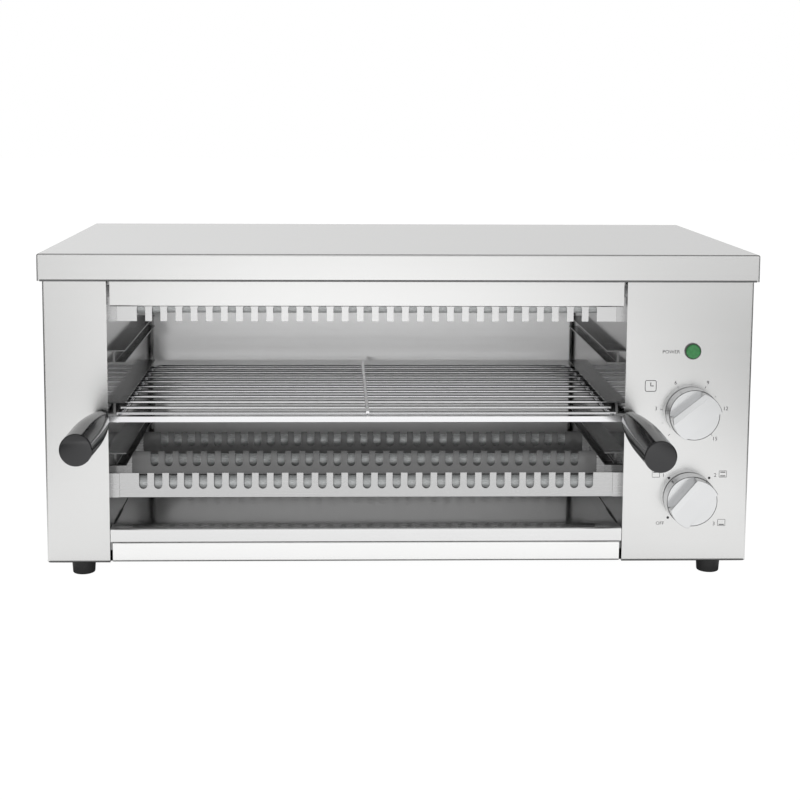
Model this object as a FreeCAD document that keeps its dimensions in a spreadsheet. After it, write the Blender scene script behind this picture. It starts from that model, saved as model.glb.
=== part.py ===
import FreeCAD, Part
import math
import os

import Sketcher

# Driving sizes in millimetres and degrees. Depths run back from the front face of the body.
SIZES = {
    # Body and lid
    "lid_width": 610.0,
    "lid_depth": 310.0,
    "lid_skirt": 23.0,
    "lid_overhang": 3.0,
    "overall_height": 280.0,
    "body_width": 602.4,
    "foot_height": 13.7,
    "left_column": 53.7,
    "right_column": 108.0,
    "gauge": 1.0,
    "bend_radius": 1.8,
    "return_width": 12.0,
    "rear_return": 22.0,
    "rear_lip": 12.0,
    "panel_gap": 2.3,
    "seam": 0.3,
    # Cavity lining
    "fascia_height": 22.5,
    "fascia_setback": 4.0,
    "fascia_return": 7.0,
    "sill_height": 17.3,
    "sill_return": 8.0,
    "reflector_rear_gap": 17.0,
    "reflector_return": 6.0,
    "ceiling_drop": 28.0,
    "ceiling_flange": 12.0,
    # Crumb tray
    "tray_lip_height": 11.5,
    "tray_lip_depth": 15.0,
    "tray_lip_gap": 0.5,
    "tray_side_gap": 0.5,
    "tray_floor_height": 33.0,
    "tray_wall": 7.0,
    "tray_rear_gap": 4.0,
    "tray_runner_leg": 10.0,
    "slide_gap": 0.3,
    # Rack runners
    "runner_width": 9.5,
    "runner_height": 11.4,
    "runner_front": 37.5,
    "runner_rear_gap": 36.5,
    "lowest_runner": 88.9,
    "runner_pitch": 45.6,
    # Rack
    "bar_section": 4.7,
    "bar_gap": 0.5,
    "bar_overreach": 4.0,
    "bar_lift": 1.95,
    "rod_diameter": 3.5,
    "rod_inset": 8.0,
    "rack_rear_gap": 30.0,
    "rack_corner": 8.0,
    "wire_diameter": 3.0,
    "wire_first": 13.5,
    "wire_rear_gap": 27.5,
    "wire_count": 10,
    "wire_overreach": 2.5,
    "spine_diameter": 3.0,
    "spine_overreach": 12.0,
    # Handles
    "left_handle_offset": 5.4,
    "right_handle_offset": 3.6,
    "left_handle_drop": 0.3,
    "right_handle_drop": 1.0,
    "left_handle_tilt": 1.3,
    "right_handle_tilt": -1.2,
    "handle_length": 122.3,
    "handle_gap": 0.2,
    "handle_base_radius": 7.6,
    "handle_belly_radius": 13.0,
    "handle_belly": 80.0,
    "handle_end_radius": 12.7,
    "handle_rim": 1.2,
    "stud_radius": 2.3,
    "stud_length": 42.0,
    "stud_gap": 0.1,
    # Tubes and their guards
    "tube_diameter": 12.0,
    "tube_wall": 1.0,
    "tube_setback": 10.0,
    "tube_reach": 12.0,
    "coil_diameter": 7.0,
    "coil_wire": 0.5,
    "lower_tube_height": 78.0,
    "upper_tube_drop": 19.0,
    "row_first": 12.0,
    "row_pitch": 79.5,
    "guard_height": 21.2,
    "lower_guard": 67.5,
    "upper_guard_drop": 9.8,
    "comb_margin": 26.15,
    "slot_width": 7.2,
    "slot_depth": 14.0,
    "slot_count": 31,
    "bracket_width": 7.0,
    "bracket_depth": 4.5,
    "cap_diameter": 19.0,
    "cap_length": 20.0,
    "strip_width": 8.0,
    # Lamp, timer and selector
    "dial_offset": 56.9,
    "timer_height": 144.4,
    "selector_height": 69.5,
    "lamp_height": 197.3,
    "knob_radius": 22.0,
    "knob_front_radius": 21.4,
    "knob_skirt": 12.2,
    "knob_height": 24.0,
    "knob_clearance": 1.2,
    "knob_wall": 2.2,
    "knob_boss_radius": 6.0,
    "grip_high_side": 12.65,
    "grip_low_side": 9.0,
    "grip_crease": 5.0,
    "grip_fall": 0.9,
    "grip_inset": 0.2,
    "grip_round": 0.6,
    "timer_angle": 38.6,
    "selector_angle": 50.0,
    "shaft_radius": 3.0,
    "fit_clearance": 0.05,
    "panel_hole": 4.0,
    "shaft_in_knob": 12.0,
    "shaft_in_body": 25.0,
    "timer_box": 44.0,
    "timer_box_depth": 40.0,
    "selector_radius": 20.0,
    "selector_depth": 34.0,
    "control_screw_pitch": 28.0,
    "screw_radius": 1.9,
    "screw_head": 3.4,
    "screw_head_height": 1.7,
    "screw_reach": 6.8,
    "lens_radius": 6.2,
    "lens_height": 2.6,
    "lamp_rim": 7.0,
    "lamp_rim_height": 1.4,
    "lamp_barrel": 5.0,
    "lamp_depth": 26.0,
    # Feet
    "foot_top_radius": 10.4,
    "foot_base_radius": 9.5,
    "foot_inset": 28.3,
    "foot_setback": 17.5,
    "foot_screw_radius": 2.5,
    "foot_screw_head": 4.6,
    "foot_recess": 5.0,
    "nut_radius": 4.6,
    "nut_height": 3.5,
    # Back and supply
    "rear_screw_reach": 3.4,
    "vent_width": 3.0,
    "vent_height": 30.0,
    "vent_pitch": 9.0,
    "vent_count": 9,
    "gland_inset": 46.0,
    "gland_height": 46.0,
    "gland_radius": 9.0,
    "gland_reach": 9.0,
    "gland_bore": 3.75,
    "gland_thread": 6.5,
    "gland_nut": 5.0,
    "block_width": 40.0,
    "block_depth": 22.0,
    "block_height": 18.0,
    "insulation_radius": 1.3,
    "wire_bend": 9.0,
    "wire_hole": 3.0,
    "wire_hole_setback": 4.5,
    "wire_hole_height": 60.0,
}
SHEET_NAME = "Sizes"
RUNNER_LEVELS = ("lower", "middle", "upper")
ROWS = ("front", "middle", "rear")


class Size:
    """A length that carries its value and the sheet formula that it comes from."""

    def __init__(self, value, text):
        self.value = value
        self.text = text

    @staticmethod
    def of(other):
        return other if isinstance(other, Size) else Size(other, repr(other))

    def combine(self, other, sign, value):
        return Size(value, f"({self.text} {sign} {Size.of(other).text})")

    def __add__(self, other):
        return self.combine(other, "+", self.value + Size.of(other).value)

    def __radd__(self, other):
        return Size.of(other) + self

    def __sub__(self, other):
        return self.combine(other, "-", self.value - Size.of(other).value)

    def __rsub__(self, other):
        return Size.of(other) - self

    def __mul__(self, other):
        return self.combine(other, "*", self.value * Size.of(other).value)

    def __rmul__(self, other):
        return Size.of(other) * self

    def __truediv__(self, other):
        return self.combine(other, "/", self.value / Size.of(other).value)

    def __neg__(self):
        return Size(-self.value, f"(0 - {self.text})")


class Sheet:
    """The sheet's cells, each read as a Size under its own name."""

    def __init__(self, document):
        self.cells = document.addObject("Spreadsheet::Sheet", SHEET_NAME)
        for row, (alias, value) in enumerate(SIZES.items(), start=1):
            self.cells.set(f"A{row}", alias.replace("_", " "))
            self.cells.set(f"B{row}", str(value))
            self.cells.setAlias(f"B{row}", alias)
            setattr(self, alias, Size(value, f"{SHEET_NAME}.{alias}"))


def cosine(angle):
    """The cosine of an angle in degrees."""
    return Size(math.cos(math.radians(angle.value)), f"cos({angle.text} * 1 deg)")


def sine(angle):
    """The sine of an angle in degrees."""
    return Size(math.sin(math.radians(angle.value)), f"sin({angle.text} * 1 deg)")


doc = FreeCAD.newDocument("SalamanderGrill")
s = Sheet(doc)
doc.recompute()
nodes = []

# Places that several pieces share, all measured from the front face, the middle and the ground
body_left = -(s.body_width / 2)
body_right = s.body_width / 2
cavity_left = body_left + s.left_column
cavity_right = body_right - s.right_column
cavity_width = cavity_right - cavity_left
cavity_centre = (cavity_left + cavity_right) / 2
body_depth = s.lid_depth - s.lid_overhang * 2
body_bottom = s.foot_height
pan_top = body_bottom + s.gauge
lid_under = s.overall_height - s.gauge
lining_height = lid_under - pan_top
ceiling_under = s.overall_height - s.ceiling_drop
upper_tube_height = ceiling_under - s.upper_tube_drop
upper_guard = ceiling_under - s.upper_guard_drop - s.guard_height
reflector_depth = body_depth - s.reflector_rear_gap
tray_depth = reflector_depth - s.tray_rear_gap
rack_depth = reflector_depth - s.rack_rear_gap
wire_pitch = (rack_depth - s.wire_first - s.wire_rear_gap) / (s.wire_count - 1)
bar_back = -s.bar_gap
bar_front = bar_back - s.bar_section
handle_back = bar_front - s.handle_gap
handle_front = handle_back - (
    (s.handle_length - s.handle_rim) * cosine(s.left_handle_tilt)
    + (s.handle_end_radius - s.handle_rim) * sine(s.left_handle_tilt) + s.handle_rim)
runner_floor = s.lowest_runner + s.runner_pitch + s.gauge
rod_height = runner_floor + s.slide_gap + s.rod_diameter / 2
wire_height = rod_height + (s.rod_diameter + s.wire_diameter) / 2
spine_height = wire_height + (s.wire_diameter + s.spine_diameter) / 2
rod_left = cavity_left + s.rod_inset
rod_right = cavity_right - s.rod_inset
bar_height = rod_height + s.bar_lift
handle_left_x = cavity_left - s.left_handle_offset
handle_right_x = cavity_right + s.right_handle_offset
dial_x = cavity_right + s.dial_offset
gland_x = body_right - s.gland_inset
gland_end = body_depth + s.lid_overhang + s.gland_reach
middle_depth = (gland_end + handle_front) / 2
tray_bottom = s.tray_floor_height - s.gauge
tray_left = cavity_left + s.tray_side_gap
tray_right = cavity_right - s.tray_side_gap
foot_front_y = s.foot_setback
foot_rear_y = body_depth - s.foot_setback
foot_left_x = body_left + s.foot_inset
foot_right_x = body_right - s.foot_inset
rear_face = body_depth - s.gauge
wire_hole_y = rear_face - s.gauge - s.wire_hole_setback
wire_hole_z = s.wire_hole_height


def bind(item, **formulas):
    """Tie properties of an object to sizes; a double underscore stands for a dot."""
    for path, size in formulas.items():
        item.setExpression(path.replace("__", "."), Size.of(size).text)
    return item


def move(item, x=0, y=0, z=0):
    """Tie an object's place to sizes."""
    return bind(item, Placement__Base__x=x, Placement__Base__y=y, Placement__Base__z=z)


def node(item, label, x=0, y=0, z=0):
    """Name an object as a sub-part and set it in the part's frame, whose middle is the origin."""
    item.Label = label
    move(item, x, Size.of(y) - middle_depth, z)
    nodes.append(item)
    return item


def box(name, size, place):
    """A block of the given length, width and height with its lowest corner at a place."""
    block = doc.addObject("Part::Box", name)
    bind(block, Length=size[0], Width=size[1], Height=size[2])
    return move(block, *place)


def span(name, low, high):
    """A block between two opposite corners."""
    return box(name, [Size.of(b) - a for a, b in zip(low, high)], low)


def beside(name, face, reach, front, back, bottom, top):
    """A block that stands on an upright face and reaches to the left or to the right of it."""
    tip = face + reach
    left, right = (face, tip) if reach.value > 0 else (tip, face)
    return span(name, (left, front, bottom), (right, back, top))


AXIS_TURNS = {
    "x": FreeCAD.Rotation(FreeCAD.Vector(0, 1, 0), 90),
    "y": FreeCAD.Rotation(FreeCAD.Vector(1, 0, 0), -90),
    "z": FreeCAD.Rotation(),
}


def rod(name, axis, radius, length, start):
    """A round bar that runs along an axis in the positive sense from its start."""
    bar = doc.addObject("Part::Cylinder", name)
    bind(bar, Radius=radius, Height=length)
    bar.Placement.Rotation = AXIS_TURNS[axis]
    return move(bar, *start)


def join(name, pieces):
    """One object of several; those that do not touch stay separate solids."""
    union = doc.addObject("Part::MultiFuse", name)
    union.Shapes = pieces
    return union


def group(name, pieces):
    """A set of like pieces that stay separate solids."""
    members = doc.addObject("Part::Compound", name)
    members.Links = pieces
    return members


def cut(name, base, tools):
    """A piece with holes or hollows taken out of it."""
    tool = tools[0] if len(tools) == 1 else group(name + "Tools", tools)
    result = doc.addObject("Part::Cut", name)
    result.Base = base
    result.Tool = tool
    return result


def plane_of(body, role):
    """One of a body's own origin planes."""
    return next(item for item in body.Origin.OriginFeatures if item.Role == role)


def new_body(name):
    return doc.addObject("PartDesign::Body", name)


def new_sketch(body, name, role):
    """A sketch on one of a body's origin planes."""
    sketch = body.newObject("Sketcher::SketchObject", name)
    sketch.AttachmentSupport = [(plane_of(body, role), "")]
    sketch.MapMode = "FlatFace"
    return sketch


def fix_point(sketch, geometry, position, u, v):
    """Hold one point of a sketch at two sizes from the origin."""
    for kind, size in (("DistanceX", u), ("DistanceY", v)):
        size = Size.of(size)
        constraint = Sketcher.Constraint(kind, -1, 1, geometry, position, size.value)
        index = sketch.addConstraint(constraint)
        sketch.setExpression(f"Constraints[{index}]", size.text)


def outline(body, name, role, corners):
    """A sketch of straight edges through corners given as pairs of sizes."""
    sketch = new_sketch(body, name, role)
    points = [FreeCAD.Vector(Size.of(u).value, Size.of(v).value, 0) for u, v in corners]
    following = points[1:] + points[:1]
    for start, end in zip(points, following):
        sketch.addGeometry(Part.LineSegment(start, end), False)
    count = len(points)
    for index, (u, v) in enumerate(corners):
        sketch.addConstraint(Sketcher.Constraint("Coincident", index, 2, (index + 1) % count, 1))
        fix_point(sketch, index, 1, u, v)
    return sketch


def rectangle(body, name, role, low, high):
    """A rectangular outline between two opposite corners."""
    return outline(body, name, role, [low, (high[0], low[1]), high, (low[0], high[1])])


def circle(body, name, role, radius, centre=(0, 0)):
    """A round outline."""
    sketch = new_sketch(body, name, role)
    middle = FreeCAD.Vector(Size.of(centre[0]).value, Size.of(centre[1]).value, 0)
    radius = Size.of(radius)
    sketch.addGeometry(Part.Circle(middle, FreeCAD.Vector(0, 0, 1), radius.value), False)
    index = sketch.addConstraint(Sketcher.Constraint("Radius", 0, radius.value))
    sketch.setExpression(f"Constraints[{index}]", radius.text)
    fix_point(sketch, 0, 3, *centre)
    return sketch


def extrude(body, kind, name, sketch, length, backwards=False):
    """A Pad or a Pocket of a sketch."""
    feature = body.newObject("PartDesign::" + kind, name)
    feature.Profile = sketch
    bind(feature, Length=length)
    feature.Reversed = backwards
    doc.recompute()
    return feature


def round_edges(body, name, base, radius, wanted):
    """Round the edges of a feature that pass the test wanted(edge)."""
    names = [f"Edge{i}" for i, edge in enumerate(base.Shape.Edges, start=1) if wanted(edge)]
    fillet = body.newObject("PartDesign::Fillet", name)
    fillet.Base = (base, names)
    bind(fillet, Radius=radius)
    doc.recompute()
    return fillet


def near(value, size):
    """Whether a coordinate is the one that a size gives."""
    return abs(value - Size.of(size).value) < 1e-4


def middle_of(edge):
    """A straight edge's middle point."""
    return (edge.Vertexes[0].Point + edge.Vertexes[-1].Point) * 0.5


def runs_along(edge, axis):
    """Whether a straight edge is parallel to an axis."""
    if not isinstance(edge.Curve, Part.Line):
        return False
    return abs(abs(getattr(edge.Curve.Direction, axis)) - 1) < 1e-6


def on_top(edge, size):
    """Whether an edge lies wholly at one height of its own frame."""
    return all(near(vertex.Point.z, size) for vertex in edge.Vertexes)


def top_cover():
    """Lid: a folded tray turned upside down, with its corners closed."""
    body = new_body("TopCover")
    half = s.lid_width / 2
    inner = half - s.gauge
    outside = rectangle(body, "LidOutline", "XY_Plane", (-half, 0), (half, s.lid_depth))
    block = extrude(body, "Pad", "LidBlock", outside, s.lid_skirt)
    round_edges(
        body, "LidFolds", block, s.bend_radius,
        lambda edge: runs_along(edge, "z") or on_top(edge, s.lid_skirt))
    hollow = rectangle(
        body, "LidHollow", "XY_Plane", (-inner, s.gauge), (inner, s.lid_depth - s.gauge))
    extrude(body, "Pocket", "LidInside", hollow, s.lid_skirt - s.gauge, backwards=True)
    node(body, "top_cover", y=-s.lid_overhang, z=s.overall_height - s.lid_skirt)


def rear_screw_places(side):
    """Screws of the back panel on one side cover: low, middle and high."""
    inset = s.rear_return / 2
    x = body_left + inset if side.endswith("Left") else body_right - inset
    low = body_bottom + s.rear_return
    high = s.overall_height - s.lid_skirt - s.rear_return
    return [(x, low), (x, (low + high) / 2), (x, high)]


def rear_screw_holes(side):
    """Holes for those screws through the return and the back panel."""
    return [
        rod(f"{side}RearHole{i}", "y", s.screw_radius + s.fit_clearance, s.gauge * 4,
            (x, rear_face - s.gauge * 2, z))
        for i, (x, z) in enumerate(rear_screw_places(side))]


def left_side_cover():
    """Front face, side and rear return of the left column, folded from one sheet."""
    inner_left = body_left + s.gauge
    rear_edge = body_left + s.rear_return
    corners = [
        (body_left, 0), (cavity_left, 0), (cavity_left, s.gauge), (inner_left, s.gauge),
        (inner_left, rear_face - s.gauge), (rear_edge, rear_face - s.gauge), (rear_edge, rear_face),
        (body_left, rear_face)]
    body = new_body("LeftSideCover")
    plan = outline(body, "LeftPlan", "XY_Plane", corners)
    sheet = extrude(body, "Pad", "LeftSheet", plan, lid_under - body_bottom)
    round_edges(
        body, "LeftFolds", sheet, s.bend_radius,
        lambda edge: runs_along(edge, "z") and near(middle_of(edge).x, body_left))
    move(body, z=body_bottom)
    node(cut("LeftCover", body, rear_screw_holes("Left")), "left_side_cover")


def right_side_cover():
    """Side and rear return of the right column, with a joggled lap behind the control panel."""
    lap_start = s.return_width + s.seam
    lap_inner = body_right - s.gauge * 2
    side_inner = body_right - s.gauge
    rear_edge = body_right - s.rear_return
    corners = [
        (body_right, lap_start), (body_right, rear_face), (rear_edge, rear_face),
        (rear_edge, rear_face - s.gauge), (side_inner, rear_face - s.gauge),
        (side_inner, lap_start + s.gauge), (lap_inner, lap_start + s.gauge),
        (lap_inner, s.gauge * 2), (side_inner, s.gauge * 2), (side_inner, lap_start)]
    body = new_body("RightSideCover")
    plan = outline(body, "RightPlan", "XY_Plane", corners)
    sheet = extrude(body, "Pad", "RightSheet", plan, lid_under - body_bottom)
    round_edges(
        body, "RightFolds", sheet, s.bend_radius,
        lambda edge: (runs_along(edge, "z") and near(middle_of(edge).x, body_right)
                      and near(middle_of(edge).y, rear_face)))
    move(body, z=body_bottom)
    node(cut("RightCover", body, rear_screw_holes("Right")), "right_side_cover")


def control_panel():
    """Front face of the right column, with its outer edge folded back and holes for the dials."""
    body = new_body("ControlPanel")
    side_inner = body_right - s.gauge
    corners = [
        (cavity_right, 0), (body_right, 0), (body_right, s.return_width),
        (side_inner, s.return_width), (side_inner, s.gauge), (cavity_right, s.gauge)]
    plan = outline(body, "PanelPlan", "XY_Plane", corners)
    sheet = extrude(body, "Pad", "PanelSheet", plan, lid_under - body_bottom)
    round_edges(
        body, "PanelFolds", sheet, s.bend_radius,
        lambda edge: (runs_along(edge, "z") and near(middle_of(edge).x, body_right)
                      and near(middle_of(edge).y, 0)))
    holes = (
        ("TimerHole", s.timer_height, s.panel_hole),
        ("SelectorHole", s.selector_height, s.panel_hole),
        ("LampHole", s.lamp_height, s.lamp_barrel + s.fit_clearance))
    for name, height, radius in holes:
        ring = circle(body, name + "Ring", "XZ_Plane", radius, (dial_x, height - body_bottom))
        extrude(body, "Pocket", name, ring, s.gauge * 2)
    for name, height in (("Timer", s.timer_height), ("Selector", s.selector_height)):
        for side, sign in (("Left", -1), ("Right", 1)):
            centre = (dial_x + s.control_screw_pitch / 2 * sign, height - body_bottom)
            radius = s.screw_radius + s.fit_clearance
            ring = circle(body, name + side + "ScrewRing", "XZ_Plane", radius, centre)
            extrude(body, "Pocket", name + side + "ScrewHole", ring, s.gauge * 2)
    node(body, "control_panel", z=body_bottom)


def cavity_wall(name, label, face, outward):
    """Polished cavity side: a wall with a front flange, pierced for the tubes of both rows."""
    thickness = s.gauge * outward
    back = face + thickness
    rear = rear_face - s.gauge
    flange = s.return_width * outward
    sheets = [
        beside(name + "Sheet", face, thickness, s.gauge, rear, pan_top, lid_under),
        beside(name + "Flange", back, flange, s.gauge, s.gauge * 2, pan_top, lid_under)]
    hole_start = face + s.gauge * 2 * min(outward, 0) - s.gauge / 2
    holes = [
        rod(f"{name}Hole{level}{row}", "x", s.tube_diameter / 2 + s.seam, s.gauge * 3,
            (hole_start, tube_depth(row), height))
        for level, height in tube_levels() for row in range(len(ROWS))]
    holes.append(rod(
        name + "WireHole", "x", s.wire_hole, s.gauge * 3, (hole_start, wire_hole_y, wire_hole_z)))
    node(cut(name, join(name + "Folded", sheets), holes), label)


def tube_levels():
    """The two heights of the tubes, with a word for each."""
    return (("Lower", s.lower_tube_height), ("Upper", upper_tube_height))


def row_depth(row):
    """The front face of one row of guards."""
    return s.row_first + s.row_pitch * row


def tube_depth(row):
    """The axis of one row of tubes."""
    return row_depth(row) + s.tube_setback


def back_panel():
    """Flat rear cover on the returns of the side covers, with air slots and the cord hole."""
    margin = s.gauge + s.seam
    sheet = span(
        "BackSheet", (body_left + margin, rear_face, pan_top),
        (body_right - margin, body_depth, lid_under))
    first = dial_x - s.vent_pitch * ((s.vent_count - 1) / 2) - s.vent_width / 2
    slots = [
        box(f"Vent{level}{i}", (s.vent_width, s.gauge * 3, s.vent_height),
            (first + s.vent_pitch * i, rear_face - s.gauge, height - s.vent_height / 2))
        for level, height in (("Timer", s.timer_height), ("Lamp", s.lamp_height))
        for i in range(SIZES["vent_count"])]
    cord_hole = rod(
        "CordHole", "y", s.gland_thread + s.fit_clearance, s.gauge * 3,
        (gland_x, rear_face - s.gauge, s.gland_height))
    screws = rear_screw_holes("BackLeft") + rear_screw_holes("BackRight")
    node(cut("BackPanel", sheet, slots + screws + [cord_hole]), "back_panel")


def back_reflector():
    """Polished rear lining, held a little clear of the side walls, with returns on both ends."""
    left = cavity_left + s.panel_gap
    right = cavity_right - s.panel_gap
    body = new_body("BackReflector")
    deep = reflector_depth + s.reflector_return
    thick = reflector_depth + s.gauge
    corners = [
        (left, reflector_depth), (right, reflector_depth), (right, deep),
        (right - s.gauge, deep), (right - s.gauge, thick), (left + s.gauge, thick),
        (left + s.gauge, deep), (left, deep)]
    plan = outline(body, "ReflectorPlan", "XY_Plane", corners)
    sheet = extrude(body, "Pad", "ReflectorSheet", plan, ceiling_under - pan_top)
    round_edges(
        body, "ReflectorFolds", sheet, s.bend_radius,
        lambda edge: runs_along(edge, "z") and near(middle_of(edge).y, reflector_depth))
    node(body, "back_reflector", z=pan_top)


def ceiling_reflector():
    """Polished sheet above the top tubes, with a flange up each side wall."""
    under = ceiling_under
    top = under + s.ceiling_flange
    body = new_body("CeilingReflector")
    corners = [
        (cavity_left, under), (cavity_right, under), (cavity_right, top),
        (cavity_right - s.gauge, top), (cavity_right - s.gauge, under + s.gauge),
        (cavity_left + s.gauge, under + s.gauge), (cavity_left + s.gauge, top),
        (cavity_left, top)]
    section = outline(body, "CeilingSection", "XZ_Plane", corners)
    start = s.fascia_setback + s.fascia_return + s.gauge * 2
    extrude(body, "Pad", "CeilingSheet", section, reflector_depth + s.gauge - start, backwards=True)
    node(body, "ceiling_reflector", y=start)


def base_pan():
    """Floor of the body, folded up between the columns at the front and along the back panel."""
    margin = s.gauge + s.seam
    left = cavity_left + s.panel_gap
    right = cavity_right - s.panel_gap
    rear = rear_face - s.gauge
    top = body_bottom + s.sill_height
    floor = span(
        "PanFloor", (body_left + margin, s.gauge, body_bottom),
        (body_right - margin - s.gauge, rear, pan_top))
    lip = span(
        "PanRearLip", (body_left + s.rear_return + s.seam, rear, body_bottom),
        (body_right - s.rear_return - s.seam, rear_face, pan_top + s.rear_lip))
    body = new_body("PanFront")
    corners = [
        (0, body_bottom), (s.gauge * 2, body_bottom), (s.gauge * 2, pan_top),
        (s.gauge, pan_top), (s.gauge, top - s.gauge), (s.sill_return, top - s.gauge),
        (s.sill_return, top), (0, top)]
    section = outline(body, "SillSection", "YZ_Plane", corners)
    strip = extrude(body, "Pad", "SillSheet", section, right - left)
    round_edges(
        body, "SillFolds", strip, s.bend_radius,
        lambda edge: runs_along(edge, "x") and near(middle_of(edge).y, 0))
    move(body, x=left)
    screws = [
        rod(f"PanHole{i}", "z", s.foot_screw_radius + s.fit_clearance, s.gauge * 3,
            (x, y, body_bottom - s.gauge))
        for i, (x, y) in enumerate(foot_places())]
    node(cut("BasePan", join("PanSheet", [floor, lip, body]), screws), "base_pan")


def foot_places():
    """The four places of the feet in plan."""
    return [(x, y) for x in (foot_left_x, foot_right_x) for y in (foot_front_y, foot_rear_y)]


def front_fascia():
    """Strip under the lid that hides the top tubes, set back, with a return along its lower edge."""
    left = cavity_left + s.panel_gap
    right = cavity_right - s.panel_gap
    bottom = s.overall_height - s.lid_skirt - s.fascia_height
    front = s.fascia_setback
    body = new_body("FrontFascia")
    corners = [
        (front, bottom), (front + s.fascia_return, bottom),
        (front + s.fascia_return, bottom + s.gauge), (front + s.gauge, bottom + s.gauge),
        (front + s.gauge, lid_under - s.gauge), (front + s.fascia_return, lid_under - s.gauge),
        (front + s.fascia_return, lid_under), (front, lid_under)]
    section = outline(body, "FasciaSection", "YZ_Plane", corners)
    strip = extrude(body, "Pad", "FasciaSheet", section, right - left)
    round_edges(
        body, "FasciaFolds", strip, s.bend_radius,
        lambda edge: runs_along(edge, "x") and near(middle_of(edge).y, front))
    node(body, "front_fascia", x=left)


def crumb_tray():
    """Sliding tray: a boxed front lip, a sunken floor and low walls."""
    top = body_bottom + s.sill_height + s.tray_lip_gap + s.tray_lip_height
    lip_bottom = top - s.tray_lip_height
    wall_top = s.tray_floor_height + s.tray_wall
    lip_back = s.tray_lip_depth
    lip = new_body("TrayLip")
    corners = [
        (0, lip_bottom), (s.gauge, lip_bottom), (s.gauge, top - s.gauge),
        (lip_back - s.gauge, top - s.gauge), (lip_back - s.gauge, tray_bottom),
        (lip_back + s.gauge, tray_bottom), (lip_back + s.gauge, s.tray_floor_height),
        (lip_back, s.tray_floor_height), (lip_back, top), (0, top)]
    section = outline(lip, "LipSection", "YZ_Plane", corners)
    strip = extrude(lip, "Pad", "LipSheet", section, tray_right - tray_left)
    round_edges(
        lip, "LipFolds", strip, s.bend_radius,
        lambda edge: (runs_along(edge, "x") and near(middle_of(edge).z, top)))
    move(lip, x=tray_left)
    pieces = [
        lip,
        span("TrayFloor", (tray_left, lip_back, tray_bottom),
             (tray_right, tray_depth, s.tray_floor_height)),
        span("TrayLeft", (tray_left, lip_back, tray_bottom),
             (tray_left + s.gauge, tray_depth, wall_top)),
        span("TrayRight", (tray_right - s.gauge, lip_back, tray_bottom),
             (tray_right, tray_depth, wall_top)),
        span("TrayRear", (tray_left, tray_depth - s.gauge, tray_bottom),
             (tray_right, tray_depth, wall_top))]
    node(join("CrumbTray", pieces), "crumb_tray")


def tray_runner(name, label, face, inward):
    """Angle on the cavity wall that the crumb tray slides on."""
    top = tray_bottom - s.slide_gap
    bottom = top - s.tray_runner_leg
    front = s.sill_return + s.gauge
    shelf_reach = s.tray_runner_leg * inward
    pieces = [
        beside(name + "Shelf", face, shelf_reach, front, tray_depth, top - s.gauge, top),
        beside(name + "Web", face, s.gauge * inward, front, tray_depth, bottom, top)]
    node(join(name, pieces), label)


def rack_runner(side, level_index):
    """Channel on the cavity wall, open towards the rack."""
    level = RUNNER_LEVELS[level_index]
    face, inward = (cavity_left, 1) if side == "left" else (cavity_right, -1)
    bottom = s.lowest_runner + s.runner_pitch * level_index
    top = bottom + s.runner_height
    tip = face + s.runner_width * inward
    web = face + s.gauge * inward
    name = f"Runner{level.title()}{side.title()}"
    body = new_body(name)
    corners = [
        (face, bottom), (tip, bottom), (tip, bottom + s.gauge), (web, bottom + s.gauge),
        (web, top - s.gauge), (tip, top - s.gauge), (tip, top), (face, top)]
    section = outline(body, name + "Section", "XZ_Plane", corners)
    length = reflector_depth - s.runner_rear_gap - s.runner_front
    sheet = extrude(body, "Pad", name + "Sheet", section, length, backwards=True)
    round_edges(
        body, name + "Folds", sheet, s.gauge / 2,
        lambda edge: runs_along(edge, "y") and near(middle_of(edge).x, web))
    node(body, f"rack_runner_{level}_{side}", y=s.runner_front)


def tube_guard(level, row):
    """Comb strip in front of one tube: round-ended slots in its upper or lower edge."""
    name = f"Guard{level.title()}{row}"
    length = cavity_width - s.gauge * 2 - s.seam * 2
    body = new_body(name)
    half = length / 2
    strip = rectangle(body, name + "Strip", "XZ_Plane", (-half, 0), (half, s.guard_height))
    extrude(body, "Pad", name + "Sheet", strip, s.gauge, backwards=True)
    slot = slot_sketch(body, name + "Slot", s.comb_margin - half)
    first = extrude(body, "Pocket", name + "FirstSlot", slot, s.gauge * 2)
    comb = body.newObject("PartDesign::LinearPattern", name + "Comb")
    comb.Originals = [first]
    comb.Direction = (slot, ["H_Axis"])
    bind(comb, Length=length - s.comb_margin * 2, Occurrences=s.slot_count)
    body.Tip = comb
    doc.recompute()
    height = s.lower_guard
    if level == "upper":
        body.Placement.Rotation = FreeCAD.Rotation(FreeCAD.Vector(0, 1, 0), 180)
        height = upper_guard + s.guard_height
    node(body, f"tube_guard_{level}_{ROWS[row]}", cavity_centre, row_depth(row), height)


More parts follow.
